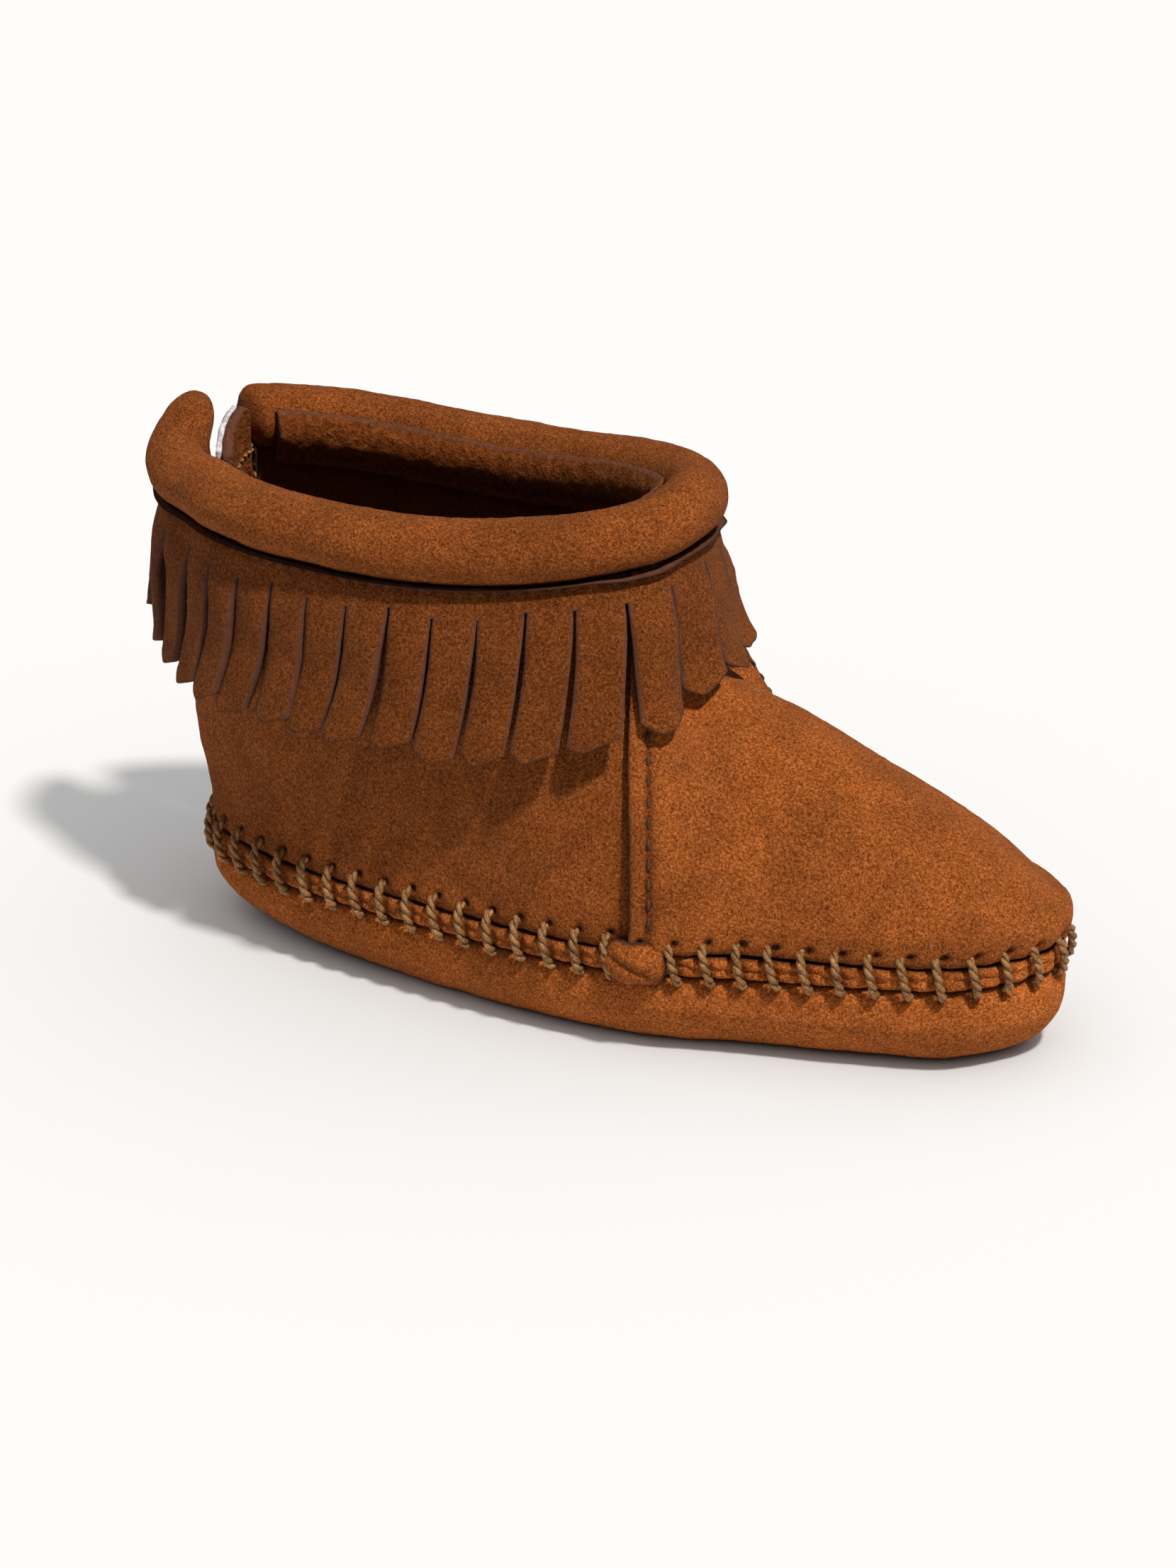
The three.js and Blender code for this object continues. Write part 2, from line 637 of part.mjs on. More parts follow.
// The folded end of the side seam, caught over the sole seam.
function seamTab(side) {
  const columns = side < 0 ? span(5.82, 6.3, 2) : span(13.7, 14.18, 2);
  const place = (s, h, face) => {
    const p = seamPoint(s);
    p.z += h;
    return p.addScaledVector(seamNormal(s), 2.3 + (face === 0 ? SUEDE : 0));
  };
  return sheet(columns, [-5, -1.5, 2.5], place);
}

// ---------------------------------------------------------------- assembly
const RUST = 0x8f4a1e;
const DARK_RUST = 0x5a2b12;
const GOLD = 0x8a6437;
const WHITE = 0xe8e4e6;
const CREAM = 0xd9cfbb;

const group = new THREE.Group();
group.name = 'moccasin';

function add(name, geometry, color, roughness = 0.95) {
  const material = new THREE.MeshStandardMaterial({ color, roughness, metalness: 0 });
  const mesh = new THREE.Mesh(geometry, material);
  mesh.name = name;
  group.add(mesh);
}

add('sole_bottom', soleBottom(), RUST);
add('insole_pad', insolePad(), CREAM);
add('sock_liner', sockLiner(), DARK_RUST);
add('welt_strip', weltStrip(), RUST);
add('whip_stitch_thread', whipStitchThread(), GOLD, 0.5);
add('vamp', vamp(), RUST);
add('quarter_right', quarterRight(), RUST);
add('quarter_left', quarterLeft(), RUST);
add('heel_panel', flapSheet(0, SLIT_T - 0.008, 4), DARK_RUST);
add('vamp_stitch_right', vampStitch(-1), GOLD);
add('vamp_stitch_left', vampStitch(1), GOLD);
add('seam_tab_right', seamTab(-1), RUST);
add('seam_tab_left', seamTab(1), RUST);
add('collar_roll', collarRoll(MAIN_ANGLES, 30), RUST);
add('collar_filler', collarFiller(MAIN_ANGLES, 30), CREAM);
add('collar_facing', collarFacing(HINGE_ANGLE + 0.5, FACING_END_ANGLE, 26), DARK_RUST);
add('collar_stitch', collarStitch(MAIN_ANGLES, 30), DARK_RUST);
add('fringe', fringe(MAIN_ANGLES), RUST);
add('quarter_right_end', quarterRightEnd(), RUST);
add('collar_roll_end', collarRoll(END_ANGLES, 8), RUST);
add('collar_filler_end', collarFiller(END_ANGLES, 8), CREAM);
add('collar_facing_end', collarFacing(FLAP_END_ANGLE + 10, HINGE_ANGLE - 0.5, 3), DARK_RUST);
add('collar_stitch_end', collarStitch(END_ANGLES, 8), DARK_RUST);
add('fringe_end', fringe(END_ANGLES), RUST);
add('hook_tape', hookTape(), WHITE);
add('back_flap', flapSheet(SLIT_T, FLAP_TOP, 6), DARK_RUST);
add('loop_tape', loopTape(), WHITE);
add('flap_stitch', flapStitch(), GOLD);

export default group;
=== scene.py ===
import math
from itertools import product

import bmesh
import bpy
import numpy as np
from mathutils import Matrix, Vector


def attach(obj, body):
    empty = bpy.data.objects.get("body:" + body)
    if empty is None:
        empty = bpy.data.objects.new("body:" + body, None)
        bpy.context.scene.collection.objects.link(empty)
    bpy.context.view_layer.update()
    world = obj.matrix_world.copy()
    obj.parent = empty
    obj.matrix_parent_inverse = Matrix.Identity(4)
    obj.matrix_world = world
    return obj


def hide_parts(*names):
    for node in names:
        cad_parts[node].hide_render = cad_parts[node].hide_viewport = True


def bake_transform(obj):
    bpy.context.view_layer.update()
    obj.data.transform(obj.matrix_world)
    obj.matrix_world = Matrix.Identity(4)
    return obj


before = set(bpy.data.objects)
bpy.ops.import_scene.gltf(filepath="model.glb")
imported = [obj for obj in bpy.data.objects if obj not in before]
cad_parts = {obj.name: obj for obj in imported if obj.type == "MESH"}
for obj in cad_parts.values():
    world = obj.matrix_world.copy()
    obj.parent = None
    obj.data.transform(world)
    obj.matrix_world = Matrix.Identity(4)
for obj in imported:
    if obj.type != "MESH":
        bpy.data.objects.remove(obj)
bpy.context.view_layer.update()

# Infant's suede bootie with a fringed, padded collar. Shapes are worked out in millimetres,
# +X to the toe and +Z up, as in the CAD model, and written to Blender in metres.
MM = 0.001

# ---- dimensions, as in the CAD
SUEDE = 1.3                  # thickness of the upper leather
GAP = 0.3                    # clearance between pieces that touch
SEAM_HALF_LENGTH = 61.2      # of the seam between upper and sole
TOE_INFLARE = 3.0            # the toe leans this far to the inner side
SEAM_Z_HEEL = 13.6           # the seam's height at the heel, and its climb to the toe
SEAM_Z_RISE = 2.2
SIDE_SEAM = 6.0              # outline station of the side seam
TOE = 10.0
TOE_BLEND = 1.6              # stations over which the sides' shape gives way to the toe's
INNER_LEAD = 0.5             # on the inner side it does so this many stations sooner
UNDERLAP_END = 6.3           # station where a quarter ends, under the vamp
# Plan of the sole seam, heel to toe, one row to a station: x and half width.
OUTLINE = np.array([
    [-61.6, 0], [-57.6, 10.9], [-46.5, 16.9], [-33.5, 19.6], [-18.8, 21.3], [-4, 22.7],
    [11.5, 22.2], [26.5, 18.8], [41, 16.0], [53.5, 11.6], [60.8, 0],
])
COLLAR_X = -27.8             # middle of the collar's stitch line, an oval
COLLAR_HALF_LENGTH = 36.9
COLLAR_HALF_WIDTH = 20.4
COLLAR_Z = 61.0
COLLAR_TILT = 0.4            # the heel end is this much lower, the toe end as much higher
COLLAR_DIP = 1.7             # both sides dip below the two ends
NEAR_SAG = 0.8               # further sag of the near side, the overlap and the far side
OVERLAP_SAG = 3.5
COLLAR_FAR_DIP = 0.9
SIDE_SEAM_ANGLE = 152.0      # where the side seam meets the collar, degrees from the heel
ROLL_RADIUS = 4.4
ROLL_TIP_RADIUS = 4.0        # the padding is thinner along the overlap
ROLL_SKIN = 1.2
ROLL_GAP = 0.3               # stitch line to the underside of the roll
TIP_RISE = 1.8               # the tip of the overlap is drawn up by this much
ROLL_INSET = 0.9             # the roll's middle stands this far inside its stitch line
TIP_ANGLE = -9.0             # free edge of the outer overlap
HINGE_ANGLE = 48.0           # where the overlap bends away from the boot
FLAP_SEAM_ANGLE = -22.0      # stitched seam the inner flap swings about
FLAP_END_ANGLE = 23.0        # free edge of the inner flap
FAR_END_ANGLE = 360 + FLAP_SEAM_ANGLE - 0.5     # where the collar's far side ends
FACING_END_ANGLE = 333.0
OVERLAP_LIFT = 1.9           # the overlap stands this far outside the flap below it
OVERLAP_ROLL_LIFT = 1.7      # and this much further at its roll
FLAP_DEPTH = 2.0             # the inner flap lies this far inside the upper's outer face
FLAP_TOP = 1.16              # its top edge, as a share of the wall's height
TAPE = 0.8                   # thickness of the hook and loop tapes
FRINGE_BAND = 3.0            # uncut leather above the fringe's slits
FRINGE_LENGTH = 22.2
FRINGE_PITCH = 6.1
FRINGE_SKIN = 1.2
STITCH_PITCH = 4.35          # between whip stitches
WELT_HEIGHT = 2.7
SOLE_SKIN = 1.5
WALL_HEIGHT = COLLAR_Z - SEAM_Z_HEEL


# ---- camera, floor and lights
CAMERA_AZIMUTH = 27.61       # degrees; 0 looks along +Y
CAMERA_ELEVATION = 23.81
CAMERA_DISTANCE = 0.70
CAMERA_TARGET = Vector((-0.0031, -0.0061, 0.0288))
CAMERA_LENS = 161.9          # millimetres, on a sensor 36 mm wide


def make_camera():
    azimuth, elevation = math.radians(CAMERA_AZIMUTH), math.radians(CAMERA_ELEVATION)
    back = Vector((
        math.sin(azimuth) * math.cos(elevation),
        -math.cos(azimuth) * math.cos(elevation),
        math.sin(elevation),
    ))
    data = bpy.data.cameras.new("camera")
    data.sensor_fit = "HORIZONTAL"
    data.sensor_width = 36.0
    data.lens = CAMERA_LENS
    data.clip_start = 0.01
    camera = bpy.data.objects.new("camera", data)
    camera.location = CAMERA_TARGET + back * CAMERA_DISTANCE
    camera.rotation_euler = (math.pi / 2 - elevation, 0, azimuth)
    bpy.context.scene.collection.objects.link(camera)
    bpy.context.scene.camera = camera


def make_sun(name, strength, colour, place, spread):
    """A distant light shining from place to the origin, spread over some degrees of sky."""
    data = bpy.data.lights.new(name, "SUN")
    data.energy = strength
    data.color = colour
    data.angle = math.radians(spread)
    light = bpy.data.objects.new(name, data)
    light.location = place
    light.rotation_euler = (Vector() - Vector(place)).to_track_quat("-Z", "Y").to_euler()
    bpy.context.scene.collection.objects.link(light)
    return light


# ---- curves and surfaces
def smooth(x):
    x = np.clip(x, 0, 1)
    return x * x * (3 - 2 * x)


def mix(a, b, share):
    return a + (b - a) * share


def bell(x, width):
    return np.exp(-((x / width) ** 2))


def through(values, u):
    """Smooth curve through equally spaced values, read at positions u."""
    values = np.asarray(values, float)
    u = np.asarray(u, float)
    last = len(values) - 1
    i = np.clip(np.floor(u).astype(int), 0, last - 1)
    f = u - i
    b, c = values[i], values[i + 1]
    a = np.where(i > 0, values[i - 1], 2 * b - c)
    d = np.where(i + 2 <= last, values[np.minimum(i + 2, last)], 2 * c - b)
    return b + 0.5 * f * (c - a + f * (2 * a - 5 * b + 4 * c - d + f * (3 * (b - c) + d - a)))


def unit(vectors):
    return vectors / np.maximum(np.linalg.norm(vectors, axis=-1, keepdims=True), 1e-12)


def points(x, y, z):
    return np.stack(np.broadcast_arrays(x, y, z), axis=-1).astype(float)


def dot(a, b):
    return np.sum(a * b, axis=-1)


UP = np.array([0.0, 0.0, 1.0])


def fold(s):
    """Station counted up the near side, and the side it is on: -1 near, 1 far."""
    around = np.mod(s, 20)
    near = around <= TOE
    return np.where(near, around, 20 - around), np.where(near, -1, 1)


OUTLINE_X = np.concatenate([[OUTLINE[1, 0]], OUTLINE[:, 0], [OUTLINE[9, 0]]])
OUTLINE_W = np.concatenate([[-OUTLINE[1, 1]], OUTLINE[:, 1], [-OUTLINE[9, 1]]])


def seam_height(x):
    along = (x + SEAM_HALF_LENGTH) / (2 * SEAM_HALF_LENGTH)
    return SEAM_Z_HEEL + SEAM_Z_RISE * along * along


def seam_point(s):
    """Point of the sole seam at a station: 0 heel, 10 toe, 20 heel again, near side first."""
    k, side = fold(s)
    x = through(OUTLINE_X, k + 1)
    y = side * through(OUTLINE_W, k + 1) + TOE_INFLARE * smooth(x / SEAM_HALF_LENGTH)
    return points(x, y, seam_height(x))


def seam_normal(s):
    d = seam_point(s + 0.05) - seam_point(s - 0.05)
    return unit(points(d[..., 1], -d[..., 0], 0))


def angle_of(s):
    """Collar angle above a station: 0 at the heel, 180 at the toe, near side first."""
    k, side = fold(s)
    front = (180 - SIDE_SEAM_ANGLE) / (TOE - SIDE_SEAM)
    angle = np.where(k <= SIDE_SEAM, k * SIDE_SEAM_ANGLE / SIDE_SEAM,
                     SIDE_SEAM_ANGLE + (k - SIDE_SEAM) * front)
    return np.where(side < 0, angle, 360 - angle)


def station_of(angle):
    """Station below a collar angle, the reverse of angle_of."""
    a = np.mod(angle, 360)
    near = np.where(a <= 180, a, 360 - a)
    front = (TOE - SIDE_SEAM) / (180 - SIDE_SEAM_ANGLE)
    k = np.where(near <= SIDE_SEAM_ANGLE, near * SIDE_SEAM / SIDE_SEAM_ANGLE,
                 SIDE_SEAM + (near - SIDE_SEAM_ANGLE) * front)
    return np.where(a <= 180, k, 20 - k)


def signed(angle):
    """The same angle between -180 and 180."""
    return np.mod(np.asarray(angle, float) + 180, 360) - 180


def heel_station(angle):
    """Station of an angle, counted down past zero on the inner side of the heel."""
    return np.where(np.asarray(angle) < 0, station_of(angle) - 20, station_of(angle))


def collar_point(angle):
    a = np.radians(angle)
    near = signed(angle)
    sag = (NEAR_SAG * smooth(np.sin(a) / 0.4)
           + OVERLAP_SAG * smooth((88 - near) / 75) * smooth((near + 12) / 32))
    far_dip = COLLAR_FAR_DIP * smooth(1 - np.abs(np.mod(angle, 360) - 268) / 45)
    return points(
        COLLAR_X - COLLAR_HALF_LENGTH * np.cos(a),
        -COLLAR_HALF_WIDTH * np.sin(a),
        COLLAR_Z - COLLAR_TILT * np.cos(a) + COLLAR_DIP * np.cos(2 * a) - far_dip - sag,
    )


def collar_normal(angle):
    a = np.radians(angle)
    return unit(points(-COLLAR_HALF_WIDTH * np.cos(a), -COLLAR_HALF_LENGTH * np.sin(a), 0))


# How the wall climbs from seam (0) to collar (1): share of the way in, share of the height.
TOE_IN = [0, -0.03, 0.03, 0.125, 0.28, 0.475, 0.67, 0.85, 0.96, 0.99, 1]
TOE_UP = [0, 0.08, 0.12, 0.2, 0.295, 0.395, 0.495, 0.573, 0.655, 0.80, 1]
SIDE_IN = [0, -0.03, 0.0, 0.06, 0.17, 0.31, 0.47, 0.64, 0.79, 0.91, 1]
HEEL_IN = [0, 0.25, 0.42, 0.55, 0.65, 0.74, 0.81, 0.88, 0.93, 0.97, 1]


def wall_point(s, t):
    """Outer face of the upper at a station, from the seam (t = 0) to the collar (t = 1)."""
    s, t = np.broadcast_arrays(np.asarray(s, float), np.asarray(t, float))
    k, which = fold(s)
    top = collar_point(angle_of(s))
    foot = seam_point(s)
    u = np.minimum(t, 1) * 10
    lead = np.where(which > 0, INNER_LEAD * smooth((TOE - k) / 1.5), 0)
    toe_share = smooth((k - SIDE_SEAM + lead) / TOE_BLEND)
    side = mix(through(HEEL_IN, u), through(SIDE_IN, u), smooth(k / 5))
    inward = mix(side, through(TOE_IN, u), toe_share)
    upward = mix(u / 10, through(TOE_UP, u), toe_share)
    p = mix(foot, top, inward[..., None])
    p[..., 2] = mix(foot[..., 2], top[..., 2], upward) + np.maximum(t - 1, 0) * WALL_HEIGHT
    return p


def upper(s, t, depth):
    """Point of the upper's leather at a depth below its outer face."""
    low = np.clip(np.asarray(t) - 0.02, 0, 0.94)
    ds = wall_point(s + 0.04, t) - wall_point(s - 0.04, t)
    dt = wall_point(s, low + 0.04) - wall_point(s, low)
    return wall_point(s, t) - unit(np.cross(ds, dt)) * np.asarray(depth)[..., None]


def overlap_lift(angle, t):
    """How far the overlap stands outside the wall's own surface."""
    near = smooth((HINGE_ANGLE - 12 - angle) / 28)
    return near * (OVERLAP_LIFT * smooth(t / 0.35)
                   + OVERLAP_ROLL_LIFT * smooth((t - 0.78) / 0.2))


def overlap_angle(angle):
    """The angle from the heel, and whether it lies on the overlap."""
    a = signed(angle)
    return a, (a > TIP_ANGLE - 1) & (a < HINGE_ANGLE)


def tip_rise(angle):
    """How far the overlap's top edge is drawn up towards its tip."""
    a, on_overlap = overlap_angle(angle)
    return np.where(on_overlap, TIP_RISE * smooth((10 - a) / 19), 0)


def flap_depth(angle, t):
    """How far inside the wall's own surface the inner flap's outer face lies."""
    inside = smooth((angle - FLAP_SEAM_ANGLE) / 11)
    low = 1.6 + (FLAP_DEPTH - 1.6) * smooth(t / 0.35)
    return inside * (low + 2.0 * smooth((t - 0.85) / 0.13))


FLAP_DROOP = 0.45            # share of its standing height that the flap loses at its seam


def flap_height(angle, t):
    """Above the stitch line the flap's top edge droops towards its seam."""
    kept = 1 - FLAP_DROOP * smooth((-8 - angle) / 12)
    return np.where(t > 1, 1 + (t - 1) * kept, t)


def vamp_proud(k):
    """The vamp's edge stands out over the quarter that it is sewn onto."""
    return 0.9 * (1 - smooth((k - UNDERLAP_END) / 0.5))


def quarter_dip(k):
    """The quarter sinks where it passes under the vamp's edge."""
    return 0.75 * smooth((k - SIDE_SEAM + 0.35) / 0.3)


def seam_step(angle):
    """How far what hangs outside the side seam steps out over the vamp's edge."""
    k, _ = fold(station_of(angle))
    return smooth((k - 5.5) / 0.4) * (1 - smooth((k - 6.8) / 1.5))


def collar_frame(angle):
    """Point of the stitch line, lifted with the overlap, and its outward way."""
    a, on_overlap = overlap_angle(angle)
    lift = np.where(on_overlap, overlap_lift(a, 1.0), 0)
    out = collar_normal(angle)
    return collar_point(angle) + out * lift[..., None], out


def arc_lengths(path):
    steps = np.linalg.norm(np.diff(path, axis=0), axis=1)
    return np.concatenate([[0], np.cumsum(steps)])


def even(curve, start, stop, pitch):
    """Parameters from start to stop that are evenly spaced in length along curve()."""
    fine = np.linspace(start, stop, 3000)
    lengths = arc_lengths(curve(fine))
    count = max(2, round(lengths[-1] / pitch))
    return np.interp(np.linspace(0, lengths[-1], count + 1), lengths, fine)


# ---- stitches round the sole
FINE_STATIONS = np.linspace(0, 20, 4001)
SEAM_LENGTHS = arc_lengths(seam_point(FINE_STATIONS))
STITCH_COUNT = round(SEAM_LENGTHS[-1] / STITCH_PITCH)
STITCH_STEP = SEAM_LENGTHS[-1] / STITCH_COUNT


def stitch_phase(s):
    """Counts stitches round the seam; a whole number is the middle of a stitch."""
    return np.interp(np.mod(s, 20), FINE_STATIONS, SEAM_LENGTHS) / STITCH_STEP - 0.5


def from_stitch(s):
    """Millimetres along the seam to the nearest stitch."""
    phase = stitch_phase(s)
    return np.abs(phase - np.round(phase)) * STITCH_STEP


# ---- repeatable noise
def noise(place, size, seed=0):
    """Smooth values from -1 to 1 at the places, in bumps of about the given size."""
    # Each corner of a cell gets its value from a hash of its whole coordinates.
    q = place / size + seed * 17.31
    cell = np.floor(q).astype(np.int64)
    f = smooth(q - cell)
    total = np.zeros(q.shape[:-1])
    for corner in product((0, 1), repeat=3):
        c = cell + corner
        mixed = c[..., 0] * 73856093 ^ c[..., 1] * 19349663 ^ c[..., 2] * 83492791
        mixed = (mixed ^ (mixed >> 13)) * 1274126177 & 0x7FFFFFFF
        value = ((mixed ^ (mixed >> 15)) & 0xFFFF) / 32767.5 - 1
        weight = np.prod(np.where(np.array(corner) == 1, f, 1 - f), axis=-1)
        total += weight * value
    return total


# ---- meshes
def make_object(name, vertices, faces, material, values=None):
    """A mesh object in metres. values are named numbers, one for each vertex."""
    mesh = bpy.data.meshes.new(name)
    mesh.from_pydata((np.asarray(vertices) * MM).tolist(), [], faces)
    for key, numbers in (values or {}).items():
        attribute = mesh.attributes.new(key, "FLOAT", "POINT")
        attribute.data.foreach_set("value", np.asarray(numbers, np.float32))
    mesh.shade_smooth()
    mesh.materials.append(material)
    made = bpy.data.objects.new(name, mesh)
    bpy.context.scene.collection.objects.link(made)
    return made


def ruffle(made, layers):
    """Moves a mesh's points along their normals by noise: rows of size, amount and seed, in mm."""
    mesh = made.data
    count = len(mesh.vertices)
    place = np.zeros(count * 3, np.float32)
    normal = np.zeros(count * 3, np.float32)
    mesh.vertices.foreach_get("co", place)
    mesh.vertex_normals.foreach_get("vector", normal)
    place = place.reshape(-1, 3).astype(float)
    rest = place / MM
    move = sum(amount * noise(rest, size, seed) for size, amount, seed in layers)
    place += normal.reshape(-1, 3) * (move * MM)[:, None]
    mesh.vertices.foreach_set("co", place.astype(np.float32).ravel())
    mesh.update()
    return made


NAP_RUFFLE = [(14.0, 0.22, 1), (4.5, 0.10, 2), (0.9, 0.07, 3)]


def shell(name, us, vs, place, material, shade=None, has=None, ring=False, pipe=False,
          layers=NAP_RUFFLE):
    """A sheet with thickness. place(u, v, face) gives the outer (0) and inner (1) points.

    has is the grid of cells that are leather; ring closes the sheet along u, pipe along v.
    shade(u, v) paints shade into grooves and holes. Cut edges are marked for the material."""
    nu, nv = len(us), len(vs)
    u, v = np.meshgrid(us, vs, indexing="ij")
    sides = [np.asarray(place(u, v, face)) for face in (0.0, 1.0)]
    vertices = np.concatenate([side.reshape(-1, 3) for side in sides])
    cells = np.ones((nu if ring else nu - 1, nv if pipe else nv - 1), bool)
    if has is not None:
        cells &= has
    i, j = np.nonzero(cells)
    corner = [(i, j), ((i + 1) % nu, j), ((i + 1) % nu, (j + 1) % nv), (i, (j + 1) % nv)]
    outer = [p * nv + q for p, q in corner]
    inner = [index + nu * nv for index in outer]
    faces = [np.stack(outer, 1), np.stack(inner[::-1], 1)]
    padded = np.pad(cells, 1)
    if ring:
        padded[0], padded[-1] = padded[-2], padded[1]
    if pipe:
        padded[:, 0], padded[:, -1] = padded[:, -2], padded[:, 1]
    edge = np.zeros(len(vertices))
    for a, b, di, dj in ((0, 1, 0, -1), (1, 2, 1, 0), (2, 3, 0, 1), (3, 0, -1, 0)):
        open_side = ~padded[i + 1 + di, j + 1 + dj]
        border = [inner[a], inner[b], outer[b], outer[a]]
        faces.append(np.stack(border, 1)[open_side])
        for index in border:
            edge[index[open_side]] = 1
    faces = np.concatenate(faces)
    used, faces = np.unique(faces, return_inverse=True)
    dark = np.zeros((2, nu, nv))
    if shade is not None:
        dark[:] = shade(u, v)
    back = np.repeat([0.0, 1.0], nu * nv)
    values = {"cut": edge[used], "dark": dark.ravel()[used], "back": back[used]}
    made = make_object(name, vertices[used], faces.reshape(-1, 4).tolist(), material, values)
    return ruffle(made, layers)


class Bundle:
    """Gathers many small tubes into one mesh."""

    def __init__(self):
        self.vertices = []
        self.faces = []
        self.count = 0

    def tube(self, path, radii, sides=8, facing=UP, lobes=0, twist=0.0):
        """A closed tube along path. lobes and twist give it strands that wind round it."""
        tangent = unit(np.gradient(path, axis=0))
        across = unit(np.cross(tangent, facing))
        over = np.cross(across, tangent)
        turn = 2 * np.pi * np.arange(sides) / sides
        along = arc_lengths(path)[:, None]
        lumps = 1 + (0.12 * np.cos(lobes * (turn - twist * along)) if lobes else 0 * along)
        radius = np.asarray(radii)[:, None] * lumps
        rings = (path[:, None] + (radius * np.cos(turn))[..., None] * across[:, None]
                 + (radius * np.sin(turn))[..., None] * over[:, None])
        n = len(path)
        for i in range(n - 1):
            for j in range(sides):
                a, b = i * sides + j, i * sides + (j + 1) % sides
                self.faces.append([self.count + q for q in (a, b, b + sides, a + sides)])
        self.faces.append([self.count + j for j in reversed(range(sides))])
        self.faces.append([self.count + (n - 1) * sides + j for j in range(sides)])
        self.vertices.append(rings.reshape(-1, 3))
        self.count += n * sides
        return self

    def make(self, name, material):
        return make_object(name, np.concatenate(self.vertices), self.faces, material)


# ---- materials
class Graph:
    """Short names for building a material's nodes. Sizes are in millimetres."""

    def __init__(self, name):
        self.material = bpy.data.materials.new(name)
        self.material.use_nodes = True
        self.tree = self.material.node_tree
        self.tree.nodes.clear()
        self.place = self.add("ShaderNodeTexCoord").outputs["Object"]

    def add(self, kind, inputs=None, **settings):
        made = self.tree.nodes.new(kind)
        for key, value in settings.items():
            setattr(made, key, value)
        for key, value in (inputs or {}).items():
            if isinstance(value, bpy.types.NodeSocket):
                self.tree.links.new(value, made.inputs[key])
            else:
                made.inputs[key].default_value = value
        return made

    def noise(self, size, detail=2.0, roughness=0.5, distortion=0.0):
        made = self.add("ShaderNodeTexNoise", {
            "Vector": self.place, "Scale": 1000.0 / size, "Detail": detail,
            "Roughness": roughness, "Distortion": distortion,
        })
        return made.outputs["Fac"]

    def math(self, operation, a, b=0.0, clamp=False):
        made = self.add("ShaderNodeMath", {0: a, 1: b}, operation=operation, use_clamp=clamp)
        return made.outputs[0]

    def spread(self, value, low, high, to_low=0.0, to_high=1.0):
        made = self.add("ShaderNodeMapRange", {
            "Value": value, "From Min": low, "From Max": high,
            "To Min": to_low, "To Max": to_high,
        })
        return made.outputs["Result"]

    def ramp(self, value, stops):
        made = self.add("ShaderNodeValToRGB", {"Fac": value})
        elements = made.color_ramp.elements
        while len(elements) < len(stops):
            elements.new(1.0)
        for element, (position, colour) in zip(elements, stops):
            element.position = position
            element.color = (*colour, 1.0)
        return made.outputs["Color"]

    def blend(self, share, a, b, blend_type="MIX"):
        made = self.add("ShaderNodeMix", data_type="RGBA", blend_type=blend_type)
        for socket, value in ((made.inputs[0], share), (made.inputs[6], a), (made.inputs[7], b)):
            if isinstance(value, bpy.types.NodeSocket):
                self.tree.links.new(value, socket)
            elif socket.type == "RGBA":
                socket.default_value = (*value, 1.0)
            else:
                socket.default_value = value
        return made.outputs[2]

    def attribute(self, name):
        return self.add("ShaderNodeAttribute", attribute_name=name).outputs["Fac"]

    def bump(self, height, distance):
        made = self.add("ShaderNodeBump", {"Height": height, "Distance": distance * MM})
        return made.outputs["Normal"]

    def surface(self, **inputs):
        named = {key.replace("_", " "): value for key, value in inputs.items()}
        shader = self.add("ShaderNodeBsdfPrincipled", named)
        output = self.add("ShaderNodeOutputMaterial")
        self.tree.links.new(shader.outputs[0], output.inputs["Surface"])
        return self.material


NAP_PIT = (0.11, 0.024, 0.0035)      # the vamp's nap, from between its fibres to their tips
NAP_BODY = (0.34, 0.083, 0.013)
NAP_TIP = (0.62, 0.19, 0.045)
CUT_EDGE = (0.13, 0.056, 0.038)
# Painted shade: the near black that grooves, creases, holes and undersides are darkened towards.
PAINTED_SHADE_COLOUR = (0.012, 0.004, 0.002)
FLESH_SHADE = 0.55                   # the leather's back beside the body of its nap


